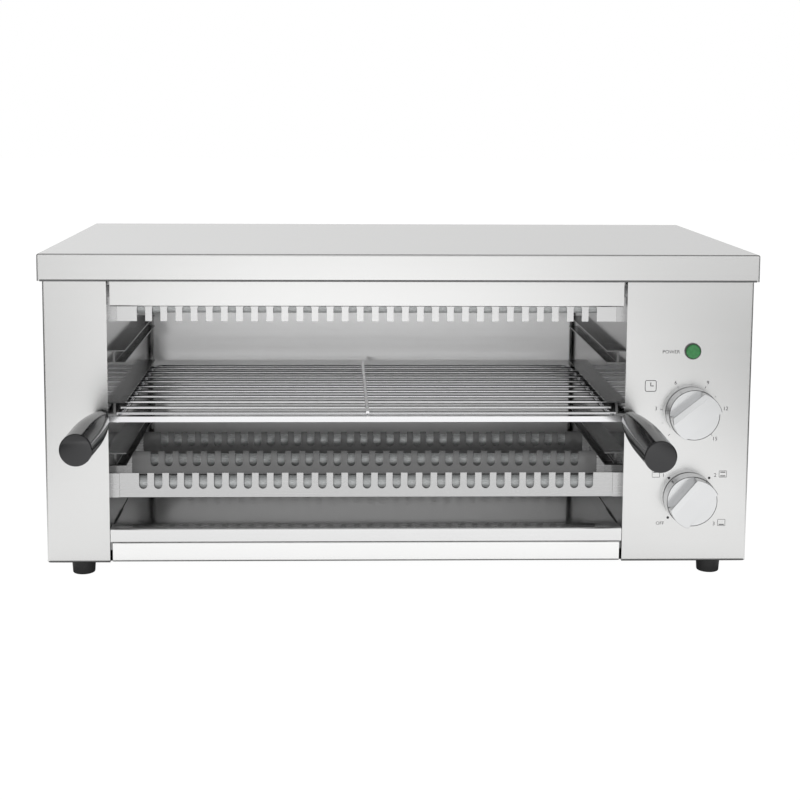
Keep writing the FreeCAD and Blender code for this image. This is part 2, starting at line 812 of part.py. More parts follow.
def slot_sketch(body, name, centre):
    """One open slot of a comb: straight sides down to a round end."""
    sketch = new_sketch(body, name, "XZ_Plane")
    radius = s.slot_width / 2
    left = centre - radius
    right = centre + radius
    top = s.guard_height
    round_height = top - s.slot_depth + radius
    mouth = top + s.gauge
    points = [(left, mouth), (left, round_height), (right, round_height), (right, mouth)]
    corner = [FreeCAD.Vector(u.value, v.value, 0) for u, v in points]
    middle = FreeCAD.Vector(centre.value, round_height.value, 0)
    axis = FreeCAD.Vector(0, 0, 1)
    sketch.addGeometry(Part.LineSegment(corner[0], corner[1]), False)
    half_turn = Part.ArcOfCircle(Part.Circle(middle, axis, radius.value), math.pi, 2 * math.pi)
    sketch.addGeometry(half_turn, False)
    sketch.addGeometry(Part.LineSegment(corner[2], corner[3]), False)
    sketch.addGeometry(Part.LineSegment(corner[3], corner[0]), False)
    sketch.addConstraint(Sketcher.Constraint("Coincident", 0, 2, 1, 1))
    sketch.addConstraint(Sketcher.Constraint("Coincident", 1, 2, 2, 1))
    sketch.addConstraint(Sketcher.Constraint("Coincident", 2, 2, 3, 1))
    sketch.addConstraint(Sketcher.Constraint("Coincident", 3, 2, 0, 1))
    fix_point(sketch, 0, 1, left, mouth)
    fix_point(sketch, 1, 1, left, round_height)
    fix_point(sketch, 2, 1, right, round_height)
    fix_point(sketch, 3, 1, right, mouth)
    level = sketch.addConstraint(Sketcher.Constraint("DistanceY", -1, 1, 1, 3, round_height.value))
    sketch.setExpression(f"Constraints[{level}]", round_height.text)
    return sketch


def guard_brackets():
    """Small angles on both walls, each with a flange over one end of a comb strip."""
    angles = []
    for side, face, inward in (("Left", cavity_left, 1), ("Right", cavity_right, -1)):
        web = s.gauge * inward
        reach = s.bracket_width * inward
        for level, bottom in (("Lower", s.lower_guard), ("Upper", upper_guard)):
            top = bottom + s.guard_height
            for row in range(len(ROWS)):
                front = row_depth(row) - s.gauge
                name = f"Bracket{side}{level}{row}"
                flange = beside(name + "Flange", face, reach, front, front + s.gauge, bottom, top)
                tab = beside(name + "Tab", face, web, front, front + s.bracket_depth, bottom, top)
                angles.append(join(name, [flange, tab]))
    node(group("Brackets", angles), "guard_brackets")


def tube_ends():
    """Where a tube starts and how long it is, from column to column."""
    start = cavity_left - s.gauge - s.tube_reach
    return start, cavity_width + (s.gauge + s.tube_reach) * 2


def quartz_tube(level, height, row):
    """Hollow heating tube that passes through both cavity walls."""
    name = f"Tube{level}{row}"
    start, length = tube_ends()
    place = (start, tube_depth(row), height)
    shell = rod(name + "Outside", "x", s.tube_diameter / 2, length, place)
    bore = rod(name + "Bore", "x", s.tube_diameter / 2 - s.tube_wall, length, place)
    node(cut(name, shell, [bore]), f"quartz_tube_{level.lower()}_{ROWS[row]}")


def heating_coils():
    """Outer envelope of the wound resistance wire inside each tube, from cap floor to cap floor."""
    start, length = tube_ends()
    radius = s.coil_diameter / 2
    coils = []
    for level, height in tube_levels():
        for row in range(len(ROWS)):
            name = f"Coil{level}{row}"
            place = (start, tube_depth(row), height)
            outside = rod(name + "Outside", "x", radius, length, place)
            inside = rod(name + "Inside", "x", radius - s.coil_wire, length, place)
            coils.append(cut(name, outside, [inside]))
    node(group("Coils", coils), "heating_coils")


def ceramic_caps():
    """Ceramic cups on the column side of both cavity walls that hold the ends of the tubes."""
    cups = []
    left_face = cavity_left - s.gauge
    right_face = cavity_right + s.gauge
    cup_radius = s.tube_diameter / 2 + s.fit_clearance
    for side, start, cup_start in (
            ("Left", left_face - s.cap_length, left_face - s.tube_reach),
            ("Right", right_face, right_face)):
        for level, height in tube_levels():
            for row in range(len(ROWS)):
                name = f"Cap{side}{level}{row}"
                y = tube_depth(row)
                outside = rod(
                    name + "Outside", "x", s.cap_diameter / 2, s.cap_length, (start, y, height))
                hollow = rod(name + "Cup", "x", cup_radius, s.tube_reach, (cup_start, y, height))
                cups.append(cut(name, outside, [hollow]))
    node(group("Caps", cups), "ceramic_caps")


def link_strips():
    """Flat strips across the outer ends of the caps that join the tubes of each level."""
    front = tube_depth(0) - s.strip_width / 2
    reach = s.row_pitch * (len(ROWS) - 1) + s.strip_width
    strips = [
        box(f"Strip{side}{level}", (s.gauge, reach, s.strip_width),
            (x, front, height - s.strip_width / 2))
        for side, x in (
            ("Left", cavity_left - s.gauge * 2 - s.cap_length),
            ("Right", cavity_right + s.gauge + s.cap_length))
        for level, height in tube_levels()]
    node(group("Strips", strips), "link_strips")


def rack_front_bar():
    """Square bar across the front of the rack, a little longer than the opening."""
    left = handle_left_x - s.bar_overreach
    right = handle_right_x + s.bar_overreach
    bar = box("FrontBar", (right - left, s.bar_section, s.bar_section), (0, 0, 0))
    node(bar, "rack_front_bar", left, bar_front, bar_height - s.bar_section / 2)


def rack_frame():
    """Round rod bent to a U: down both sides and across the back of the rack."""
    radius = s.rod_diameter / 2
    straight = rack_depth - s.rack_corner - bar_back
    corner_y = rack_depth - s.rack_corner
    pieces = [
        rod("FrameLeft", "y", radius, straight, (rod_left, bar_back, rod_height)),
        rod("FrameRight", "y", radius, straight, (rod_right, bar_back, rod_height)),
        rod("FrameRear", "x", radius, rod_right - rod_left - s.rack_corner * 2,
            (rod_left + s.rack_corner, rack_depth, rod_height))]
    bends = (("Left", rod_left + s.rack_corner, 90), ("Right", rod_right - s.rack_corner, 0))
    for side, x, turn in bends:
        bend = doc.addObject("Part::Torus", "FrameBend" + side)
        bind(bend, Radius1=s.rack_corner, Radius2=radius)
        bend.Angle3 = 90
        bend.Placement.Rotation = FreeCAD.Rotation(FreeCAD.Vector(0, 0, 1), turn)
        pieces.append(move(bend, x, corner_y, rod_height))
    node(join("RackFrame", pieces), "rack_frame")


def rack_cross_wires():
    """Evenly spaced wires laid on the side rods."""
    start = rod_left - s.wire_overreach
    length = rod_right + s.wire_overreach - start
    wires = [
        rod(f"CrossWire{i}", "x", s.wire_diameter / 2, length,
            (start, s.wire_first + wire_pitch * i, wire_height))
        for i in range(SIZES["wire_count"])]
    node(group("CrossWires", wires), "rack_cross_wires")


def rack_spine():
    """Rod laid front to back over the middle of the cross wires."""
    start = s.wire_diameter / 2
    last = s.wire_first + wire_pitch * (s.wire_count - 1)
    length = last + s.spine_overreach - start
    spine = rod("Spine", "y", s.spine_diameter / 2, length, (0, 0, 0))
    node(spine, "rack_spine", cavity_centre, start, spine_height)


def handle_turn(tilt):
    """Turn of a handle or stud whose own axis is upright: forward, and up by its tilt."""
    return FreeCAD.Rotation(FreeCAD.Vector(1, 0, 0), 90 - tilt)


def handle(side, x, drop, tilt):
    """Moulded handle: a swelling barrel with rounded ends, bored for its stud."""
    name = f"Handle{side.title()}"
    body = new_body(name)
    sketch = new_sketch(body, name + "Profile", "XZ_Plane")
    base, belly, end = s.handle_base_radius, s.handle_belly_radius, s.handle_end_radius
    bore = s.stud_radius + s.fit_clearance
    depth = s.stud_length + s.handle_rim
    corners = [
        (bore, 0), (base, 0), (belly, s.handle_belly), (end, s.handle_length),
        (0, s.handle_length), (0, depth), (bore, depth)]
    points = [FreeCAD.Vector(Size.of(u).value, Size.of(v).value, 0) for u, v in corners]
    for index, point in enumerate(points):
        following = points[(index + 1) % len(points)]
        if index == 1:
            sketch.addGeometry(barrel_arc(point, following, points[3]), False)
        else:
            sketch.addGeometry(Part.LineSegment(point, following), False)
    for index, corner in enumerate(corners):
        kind = "Tangent" if index == 1 else "Coincident"
        sketch.addConstraint(Sketcher.Constraint(kind, index, 2, (index + 1) % len(corners), 1))
        fix_point(sketch, index, 1, *corner)
    doc.recompute()
    turned = body.newObject("PartDesign::Revolution", name + "Barrel")
    turned.Profile = sketch
    turned.ReferenceAxis = (sketch, ["V_Axis"])
    turned.Angle = 360
    doc.recompute()
    round_edges(
        body, name + "Rims", turned, s.handle_rim,
        lambda edge: (isinstance(edge.Curve, Part.Circle) and edge.Curve.Radius > base.value - 0.1
                      and (on_top(edge, 0) or on_top(edge, s.handle_length))))
    body.Placement.Rotation = handle_turn(tilt)
    node(body, f"handle_{side}", x, handle_back, bar_height - drop)


def barrel_arc(start, end, beyond):
    """Arc from start to end that leaves end along the line to a point beyond it."""
    along = (beyond - end).normalize()
    normal = FreeCAD.Vector(-along.y, along.x, 0)
    chord = start - end
    radius = chord.dot(chord) / (2 * chord.dot(normal))
    centre = end + normal * radius
    first = math.atan2(end.y - centre.y, end.x - centre.x)
    last = math.atan2(start.y - centre.y, start.x - centre.x)
    low, high = min(first, last), max(first, last)
    return Part.ArcOfCircle(Part.Circle(centre, FreeCAD.Vector(0, 0, 1), abs(radius)), low, high)


def handle_stud(side, x, drop, tilt):
    """Round stud on the front of the bar, tilted with the handle that is screwed on it."""
    stud = doc.addObject("Part::Cylinder", f"Stud{side.title()}")
    bind(stud, Radius=s.stud_radius, Height=s.stud_length)
    stud.Placement.Rotation = handle_turn(tilt)
    return move(stud, x, bar_front - s.stud_gap, bar_height - drop)


def knob(label, name, height, angle):
    """Round knob with a broad raised grip across it, hollow behind, with a boss for the shaft."""
    body = new_body(name)
    back, front = s.knob_radius, s.knob_front_radius
    profile = outline(
        body, name + "DiscProfile", "XZ_Plane",
        [(0, 0), (back, 0), (front, s.knob_skirt), (0, s.knob_skirt)])
    disc = body.newObject("PartDesign::Revolution", name + "Disc")
    disc.Profile = profile
    disc.ReferenceAxis = (profile, ["V_Axis"])
    disc.Angle = 360
    doc.recompute()
    corners = [
        (-s.grip_low_side, s.knob_skirt), (s.grip_high_side, s.knob_skirt),
        (s.grip_high_side, s.knob_height - s.grip_fall),
        (s.grip_high_side - s.grip_crease, s.knob_height),
        (-s.grip_low_side, s.knob_height - s.grip_fall / 2)]
    section = outline(body, name + "GripSection", "YZ_Plane", corners)
    grip = body.newObject("PartDesign::Pad", name + "Grip")
    grip.Profile = section
    grip.Midplane = True
    bind(grip, Length=back * 2)
    doc.recompute()
    trim = rectangle(
        body, name + "TrimSection", "XZ_Plane", (front - s.grip_inset, s.knob_skirt),
        (back * 2, s.knob_height * 2))
    groove = body.newObject("PartDesign::Groove", name + "Trim")
    groove.Profile = trim
    groove.ReferenceAxis = (trim, ["V_Axis"])
    groove.Angle = 360
    doc.recompute()
    round_edges(
        body, name + "Round", groove, s.grip_round,
        lambda edge: edge.BoundBox.ZMin > s.knob_skirt.value + 1)
    hollow = new_sketch(body, name + "HollowRing", "XY_Plane")
    for index, ring in enumerate((front - s.knob_wall, s.knob_boss_radius)):
        circle_line = Part.Circle(FreeCAD.Vector(), FreeCAD.Vector(0, 0, 1), ring.value)
        hollow.addGeometry(circle_line, False)
        constraint = hollow.addConstraint(Sketcher.Constraint("Radius", index, ring.value))
        hollow.setExpression(f"Constraints[{constraint}]", ring.text)
        hollow.addConstraint(Sketcher.Constraint("Coincident", index, 3, -1, 1))
    extrude(body, "Pocket", name + "Hollow", hollow, s.knob_skirt - s.knob_wall, backwards=True)
    bore = circle(body, name + "BoreRing", "XY_Plane", s.shaft_radius + s.fit_clearance)
    extrude(
        body, "Pocket", name + "Bore", bore, s.shaft_in_knob - s.knob_clearance, backwards=True)
    turn = FreeCAD.Rotation(FreeCAD.Vector(1, 0, 0), 90)
    body.Placement.Rotation = turn.multiply(FreeCAD.Rotation(FreeCAD.Vector(0, 0, 1), angle))
    node(body, label, dial_x, -s.knob_clearance, height)


def dial_shaft(label, name, height):
    """Shaft from the boss of the knob, through the panel, into the mechanism behind it."""
    length = s.shaft_in_knob + s.gauge + s.shaft_in_body
    node(rod(name, "y", s.shaft_radius, length, (0, 0, 0)), label, dial_x, -s.shaft_in_knob, height)


def timer_body():
    """Clockwork timer behind the panel, bored for its shaft, with its two screw holes."""
    half = s.timer_box / 2
    case = span(
        "TimerCase", (dial_x - half, s.gauge, s.timer_height - half),
        (dial_x + half, s.gauge + s.timer_box_depth, s.timer_height + half))
    node(cut("TimerBody", case, mechanism_holes("Timer", s.timer_height)), "timer_body")


def selector_body():
    """Round rotary switch behind the panel, bored for its shaft, with its two screw holes."""
    case = rod(
        "SelectorCase", "y", s.selector_radius, s.selector_depth,
        (dial_x, s.gauge, s.selector_height))
    node(cut("SelectorBody", case, mechanism_holes("Selector", s.selector_height)), "selector_body")


def screw_places(height):
    """The two screws of a mechanism, either side of its shaft."""
    half = s.control_screw_pitch / 2
    return [(dial_x - half, height), (dial_x + half, height)]


def mechanism_holes(name, height):
    """Bore for a shaft, with running clearance, and two screw holes."""
    shaft = rod(
        name + "Bore", "y", s.shaft_radius + s.fit_clearance, s.shaft_in_body + s.gauge,
        (dial_x, s.gauge, height))
    screws = [
        rod(f"{name}ScrewBore{i}", "y", s.screw_radius + s.fit_clearance, s.screw_reach,
            (x, s.gauge, z))
        for i, (x, z) in enumerate(screw_places(height))]
    return [shaft] + screws


def pan_screw(name, x, y, z, length, head_height):
    """Small pan-headed screw that enters along +Y, its head on the face at y."""
    shank = rod(name + "Shank", "y", s.screw_radius, length, (x, y, z))
    head = rod(name + "Head", "y", s.screw_head, head_height, (x, Size.of(y) - head_height, z))
    return join(name, [shank, head])


def control_screws():
    """Four screws through the panel, under the knobs."""
    screws = [
        pan_screw(
            f"ControlScrew{i}{j}", x, 0, z, s.gauge + s.screw_reach, s.knob_clearance - s.seam)
        for i, height in enumerate((s.timer_height, s.selector_height))
        for j, (x, z) in enumerate(screw_places(height))]
    node(group("ControlScrews", screws), "control_screws")


def lamp():
    """Signal lamp: a barrel with a front rim behind a domed lens."""
    rim = rod(
        "LampRim", "y", s.lamp_rim, s.lamp_rim_height, (dial_x, -s.lamp_rim_height, s.lamp_height))
    barrel = rod("LampBarrel", "y", s.lamp_barrel, s.lamp_depth, (dial_x, 0, s.lamp_height))
    seat = rod(
        "LampSeat", "y", s.lens_radius + s.fit_clearance, s.lamp_rim_height / 2,
        (dial_x, -s.lamp_rim_height, s.lamp_height))
    node(cut("LampBody", join("LampHousing", [rim, barrel]), [seat]), "lamp_body")
    body = new_body("LampLens")
    ring = circle(body, "LensRing", "XY_Plane", s.lens_radius)
    disc = extrude(body, "Pad", "LensDisc", ring, s.lens_height)
    round_edges(
        body, "LensRound", disc, s.lens_height * 0.55, lambda edge: on_top(edge, s.lens_height))
    body.Placement.Rotation = FreeCAD.Rotation(FreeCAD.Vector(1, 0, 0), 90)
    node(body, "lamp_lens", dial_x, -s.lamp_rim_height / 2, s.lamp_height)


def feet():
    """Four tapered feet, each recessed below for the head of its screw."""
    pieces = []
    for i, (x, y) in enumerate(foot_places()):
        pad = doc.addObject("Part::Cone", f"FootPad{i}")
        bind(pad, Radius1=s.foot_base_radius, Radius2=s.foot_top_radius, Height=s.foot_height)
        move(pad, x, y, 0)
        recess = rod(f"FootRecess{i}", "z", s.foot_screw_head + s.seam, s.foot_recess, (x, y, 0))
        hole = rod(
            f"FootHole{i}", "z", s.foot_screw_radius + s.fit_clearance, s.foot_height, (x, y, 0))
        pieces.append(cut(f"Foot{i}", pad, [recess, hole]))
    node(group("Feet", pieces), "feet")


def foot_screws():
    """Screws up through the feet and the base pan, each with its nut."""
    pieces = []
    head_height = s.foot_recess / 2
    top = pan_top + s.nut_height
    for i, (x, y) in enumerate(foot_places()):
        head = rod(f"FootScrewHead{i}", "z", s.foot_screw_head, head_height, (x, y, head_height))
        shank = rod(
            f"FootScrewShank{i}", "z", s.foot_screw_radius, top - head_height, (x, y, head_height))
        nut = doc.addObject("Part::Prism", f"FootNut{i}")
        nut.Polygon = 6
        bind(nut, Circumradius=s.nut_radius, Height=s.nut_height)
        move(nut, x, y, pan_top)
        pieces.append(join(f"FootScrew{i}", [head, shank, nut]))
    node(group("FootScrews", pieces), "foot_screws")


def rear_screws():
    """Screws that hold the back panel, low, middle and high on both side covers."""
    pieces = []
    for side in ("Left", "Right"):
        for i, (x, z) in enumerate(rear_screw_places(side)):
            name = f"{side}RearScrew{i}"
            shank = rod(
                name + "Shank", "y", s.screw_radius, s.rear_screw_reach,
                (x, body_depth - s.rear_screw_reach, z))
            head = rod(
                name + "Head", "y", s.screw_head, s.screw_head_height, (x, body_depth, z))
            pieces.append(join(name, [shank, head]))
    node(group("RearScrews", pieces), "rear_screws")


def cable_gland():
    """Threaded gland in the back panel with its nut inside and the hole for the cord."""
    flange_end = body_depth + s.gauge * 3
    hexagon = doc.addObject("Part::Prism", "GlandHexagon")
    hexagon.Polygon = 6
    bind(hexagon, Circumradius=s.gland_radius, Height=flange_end - body_depth)
    hexagon.Placement.Rotation = AXIS_TURNS["y"]
    move(hexagon, gland_x, body_depth, s.gland_height)
    thread = rod(
        "GlandThread", "y", s.gland_thread, s.gland_nut + s.gauge,
        (gland_x, rear_face - s.gland_nut, s.gland_height))
    nose = rod(
        "GlandNose", "y", s.gland_thread + s.gauge, gland_end - flange_end,
        (gland_x, flange_end, s.gland_height))
    nut = rod(
        "GlandNut", "y", s.gland_radius, s.gland_nut,
        (gland_x, rear_face - s.gland_nut, s.gland_height))
    bore = rod(
        "GlandBore", "y", s.gland_bore, gland_end - rear_face + s.gland_nut,
        (gland_x, rear_face - s.gland_nut, s.gland_height))
    node(cut("CableGland", join("GlandBody", [hexagon, thread, nose, nut]), [bore]), "cable_gland")


def terminal_block():
    """Supply terminals on the base pan, with three clamping holes along the top."""
    left = dial_x - s.block_width / 2
    front = rear_face - s.gauge * 2 - s.block_depth * 2
    block = box("BlockBody", (s.block_width, s.block_depth, s.block_height), (left, front, pan_top))
    holes = [
        rod(f"BlockHole{i}", "z", s.screw_radius, s.block_height / 2,
            (left + s.block_width * (i + 0.5) / 3, front + s.block_depth / 2,
             pan_top + s.block_height / 2))
        for i in range(3)]
    node(cut("TerminalBlock", block, holes), "terminal_block")


def bent_wire(points, radius, bend):
    """A round wire through points: straight runs joined by tangent arcs, with its length."""
    vectors = [FreeCAD.Vector(*(Size.of(value).value for value in point)) for point in points]
    edges = []
    start = vectors[0]
    for before, corner, after in zip(vectors, vectors[1:], vectors[2:]):
        setback = min(bend.value, (corner - before).Length * 0.45, (after - corner).Length * 0.45)
        arriving = (corner - before).normalize()
        leaving = (after - corner).normalize()
        turn = arriving.getAngle(leaving)
        bend_start = corner - arriving * setback
        bend_end = corner + leaving * setback
        peak = corner + (leaving - arriving).normalize() * (setback * math.tan(turn / 4))
        edges.append(Part.LineSegment(start, bend_start).toShape())
        edges.append(Part.Arc(bend_start, peak, bend_end).toShape())
        start = bend_end
    edges.append(Part.LineSegment(start, vectors[-1]).toShape())
    path = Part.Wire(edges)
    first = (vectors[1] - vectors[0]).normalize()
    profile = Part.Wire(Part.Circle(vectors[0], first, radius.value).toShape())
    return path.makePipeShell([profile], True, False), path.Length


def wire_routes():
    """Points of each inner wire: supply, switch, lamp, and the feeds and return of the tubes."""
    half = s.timer_box / 2
    step = s.selector_radius / 2
    block_y = rear_face - s.gauge * 2 - s.block_depth * 1.5
    block_top = pan_top + s.block_height
    timer_back = s.gauge + s.timer_box_depth
    switch_back = s.gauge + s.selector_depth
    free_y = timer_back + half
    strip_left = cavity_left - s.gauge * 2 - s.cap_length
    strip_right = cavity_right + s.gauge * 2 + s.cap_length
    rear_y = tube_depth(len(ROWS) - 1)
    middle_y = tube_depth(1)
    low, high = s.lower_tube_height, upper_tube_height
    timer_z, switch_z = s.timer_height, s.selector_height
    return (
        [(dial_x, block_y, block_top), (dial_x, block_y, timer_z - half),
         (dial_x + step, block_y - half, timer_z), (dial_x + step, timer_back, timer_z)],
        [(dial_x, timer_back, timer_z - step), (dial_x, free_y, timer_z - step),
         (dial_x, free_y, switch_z + step), (dial_x, switch_back, switch_z + step)],
        [(dial_x, timer_back, timer_z + step), (dial_x, free_y, timer_z + step),
         (dial_x, free_y, s.lamp_height), (dial_x, s.lamp_depth, s.lamp_height)],
        [(dial_x - step, switch_back, switch_z), (dial_x - step, free_y, switch_z),
         (strip_right + step, rear_y, low), (strip_right, rear_y, low)],
        [(dial_x, switch_back, switch_z - step), (dial_x, free_y, switch_z - step),
         (strip_right + step, rear_y, high), (strip_right, rear_y, high)],
        [(strip_left, middle_y, low), (strip_left - step, middle_y, low),
         (strip_left - step, middle_y, high), (strip_left, middle_y, high)],
        [(strip_left, rear_y, low), (strip_left - step, rear_y, low),
         (strip_left - step, wire_hole_y, wire_hole_z), (dial_x - step, wire_hole_y, wire_hole_z),
         (dial_x - step, block_y, wire_hole_z), (dial_x - step, block_y, block_top)])


def inner_wires():
    """Insulated wires behind the panel and round the cavity."""
    radius = s.insulation_radius
    solids = []
    for points in wire_routes():
        solid, length = bent_wire(points, radius, s.wire_bend)
        expected = math.pi * radius.value ** 2 * length
        if abs(solid.Volume / expected - 1) > 0.02:
            raise RuntimeError("a wire has the wrong volume")
        solids.append(solid)
    wires = doc.addObject("Part::Feature", "InnerWires")
    wires.Shape = Part.makeCompound(solids)
    node(wires, "inner_wires")


def build():
    """Make every sub-part."""
    top_cover()
    left_side_cover()
    right_side_cover()
    control_panel()
    cavity_wall("LeftWall", "left_cavity_wall", cavity_left, -1)
    cavity_wall("RightWall", "right_cavity_wall", cavity_right, 1)
    back_panel()
    back_reflector()
    ceiling_reflector()
    base_pan()
    front_fascia()
    crumb_tray()
    tray_runner("TrayRunnerLeft", "tray_runner_left", cavity_left, 1)
    tray_runner("TrayRunnerRight", "tray_runner_right", cavity_right, -1)
    for level_index in range(len(RUNNER_LEVELS)):
        rack_runner("left", level_index)
        rack_runner("right", level_index)
    for row in range(len(ROWS)):
        tube_guard("lower", row)
        tube_guard("upper", row)
        for level, height in tube_levels():
            quartz_tube(level, height, row)
    heating_coils()
    guard_brackets()
    ceramic_caps()
    link_strips()
    rack_front_bar()
    rack_frame()
    rack_cross_wires()
    rack_spine()
    handles = (
        ("left", handle_left_x, s.left_handle_drop, SIZES["left_handle_tilt"]),
        ("right", handle_right_x, s.right_handle_drop, SIZES["right_handle_tilt"]))
    for place in handles:
        handle(*place)
    node(group("HandleStuds", [handle_stud(*place) for place in handles]), "handle_studs")
    knob("timer_knob", "TimerKnob", s.timer_height, SIZES["timer_angle"])
    knob("selector_knob", "SelectorKnob", s.selector_height, SIZES["selector_angle"])
    dial_shaft("timer_shaft", "TimerShaft", s.timer_height)
    dial_shaft("selector_shaft", "SelectorShaft", s.selector_height)
    timer_body()
    selector_body()
    control_screws()
    lamp()
    feet()
    foot_screws()
    rear_screws()
    cable_gland()
    terminal_block()
    inner_wires()


def check():
    """Stop if any object failed or any sub-part has no sound shape."""
    for item in doc.Objects:
        if {"Invalid", "Error"} & set(item.State):
            raise RuntimeError(f"{item.Label} failed: {item.State}")
    for item in nodes:
        if item.Shape.isNull() or not item.Shape.isValid() or not item.Shape.Solids:
            raise RuntimeError(f"{item.Label} has no sound shape")


build()
doc.recompute()
check()
os.makedirs("parts", exist_ok=True)
for item in nodes:
    item.Shape.exportStep(f"parts/{item.Label}.step")
    print(f"{item.Label}: {len(item.Shape.Solids)} solids, {item.Shape.Volume / 1000:.1f} cm3")
print(f"{len(nodes)} nodes")
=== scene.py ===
"""Finishes, prints and small fittings of a countertop salamander grill, set around its solids.

Every length is in metres in the part's own frame: +X to the right seen from the front, +Y to the
back, +Z up, and the origin on the ground under the middle of the grill.
"""

import logging
import math
from dataclasses import dataclass, field
from enum import Enum
from typing import Optional, Sequence, Union

import bmesh
import bpy
import numpy as np
from mathutils import Matrix, Vector


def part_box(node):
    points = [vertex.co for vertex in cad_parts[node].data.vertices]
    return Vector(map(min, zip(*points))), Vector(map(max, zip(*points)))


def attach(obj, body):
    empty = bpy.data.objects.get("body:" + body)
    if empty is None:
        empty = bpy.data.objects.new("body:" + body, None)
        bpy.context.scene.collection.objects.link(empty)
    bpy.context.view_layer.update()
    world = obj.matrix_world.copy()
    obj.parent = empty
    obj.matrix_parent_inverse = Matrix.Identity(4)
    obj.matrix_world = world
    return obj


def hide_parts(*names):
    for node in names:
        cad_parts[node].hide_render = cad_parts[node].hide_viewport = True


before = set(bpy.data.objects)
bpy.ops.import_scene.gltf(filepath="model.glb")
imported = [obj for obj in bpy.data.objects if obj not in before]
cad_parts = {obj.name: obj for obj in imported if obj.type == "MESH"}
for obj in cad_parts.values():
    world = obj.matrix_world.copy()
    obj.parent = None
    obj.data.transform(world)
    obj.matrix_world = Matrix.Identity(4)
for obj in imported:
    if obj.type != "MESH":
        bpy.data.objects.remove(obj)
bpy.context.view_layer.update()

logging.basicConfig(level=logging.INFO, format="%(name)s: %(message)s")
LOG = logging.getLogger("grill")

Socket = bpy.types.NodeSocket
Material = bpy.types.Material
Number = Union[float, Socket]
Value = Union[Number, Sequence[float]]
Colour = tuple[float, float, float]
Pair = tuple[float, float]

MM = 0.001
FRONT_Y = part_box("control_panel")[0].y
WELD_DISTANCE = 1e-7
SMOOTH_ANGLE = 35.0
NEARLY_UPRIGHT = 0.9
BOTH_ENDS = (0, -1)


class Body(str, Enum):
    """The bodies that new pieces ride on."""

    CASING = "casing"
    RACK = "rack"
    TIMER = "timer_dial"
    SELECTOR = "selector_dial"


class Slot(str, Enum):
    """The record's material slots that new pieces belong to."""

    SATIN_STEEL = "satin_steel"
    HANDLE_BLACK = "handle_black"
    KNOB_GREY = "knob_grey"
    PLATED_STEEL = "plated_steel"
    COIL_WIRE = "coil_wire"
    FOOT_RUBBER = "foot_rubber"
    SWITCH_PLASTIC = "switch_plastic"


def grey(level: float) -> Colour:
    """The same share of red, green and blue."""
    return (level, level, level)


def opaque(colour: Sequence[float]) -> tuple[float, float, float, float]:
    """The colour with full alpha."""
    return (colour[0], colour[1], colour[2], 1.0)


class Tree:
    """A node tree that is written one named step at a time."""

    def __init__(self, owner: Union[Material, bpy.types.World]) -> None:
        """Empties the node tree of its owner."""
        owner.use_nodes = True
        self.nodes, self.links = owner.node_tree.nodes, owner.node_tree.links
        self.nodes.clear()
        self.coordinates = self.nodes.new("ShaderNodeTexCoord").outputs

    def feed(self, socket: Socket, value: Value) -> None:
        """Links a socket to another one, or sets its value."""
        if isinstance(value, Socket):
            self.links.new(value, socket)
        else:
            socket.default_value = value

    def node(self, kind: str, **inputs: Value) -> bpy.types.Node:
        """Adds a node.

        Args:
            kind: type of the node.
            inputs: what its sockets get, by name, with _ for a space.

        Returns:
            The node.
        """
        node = self.nodes.new(kind)
        for key, value in inputs.items():
            self.feed(node.inputs[key.replace("_", " ")], value)
        return node

    def maths(self, operation: str, *values: Number) -> Socket:
        """One step of arithmetic on numbers or sockets."""
        node = self.nodes.new("ShaderNodeMath")
        node.operation = operation
        for socket, value in zip(node.inputs, values):
            self.feed(socket, value)
        return node.outputs[0]

    def between(self, share: Number, first: Number, second: Number) -> Socket:
        """first · (1 − share) + second · share."""
        rest = self.maths("SUBTRACT", 1.0, share) if isinstance(share, Socket) else 1.0 - share
        return self.maths("ADD", self.maths("MULTIPLY", first, rest),
                          self.maths("MULTIPLY", second, share))

    def spread(self, value: Socket, low: float, high: float, start: float = 0.3,
               end: float = 0.7, smooth: bool = False) -> Socket:
        """Stretches a value from start…end onto low…high, held at both ends.

        Args:
            value: the value to stretch.
            low: result at start.
            high: result at end.
            start: lower edge of the input.
            end: upper edge of the input.
            smooth: whether the change eases in and out.

        Returns:
            The stretched value.
        """
        node = self.node("ShaderNodeMapRange", Value=value, From_Min=start, From_Max=end,
                         To_Min=low, To_Max=high)
        node.interpolation_type = "SMOOTHSTEP" if smooth else "LINEAR"
        return node.outputs["Result"]

    def split(self, vector: Socket) -> tuple[Socket, ...]:
        """The x, y and z of a vector."""
        return tuple(self.node("ShaderNodeSeparateXYZ", Vector=vector).outputs)

    def seen(self, direct: float, mirrored: Socket) -> Socket:
        """One strength where it is seen directly, another for the light that it gives."""
        plain = self.nodes.new("ShaderNodeLightPath").outputs["Is Camera Ray"]
        return self.between(plain, mirrored, direct)


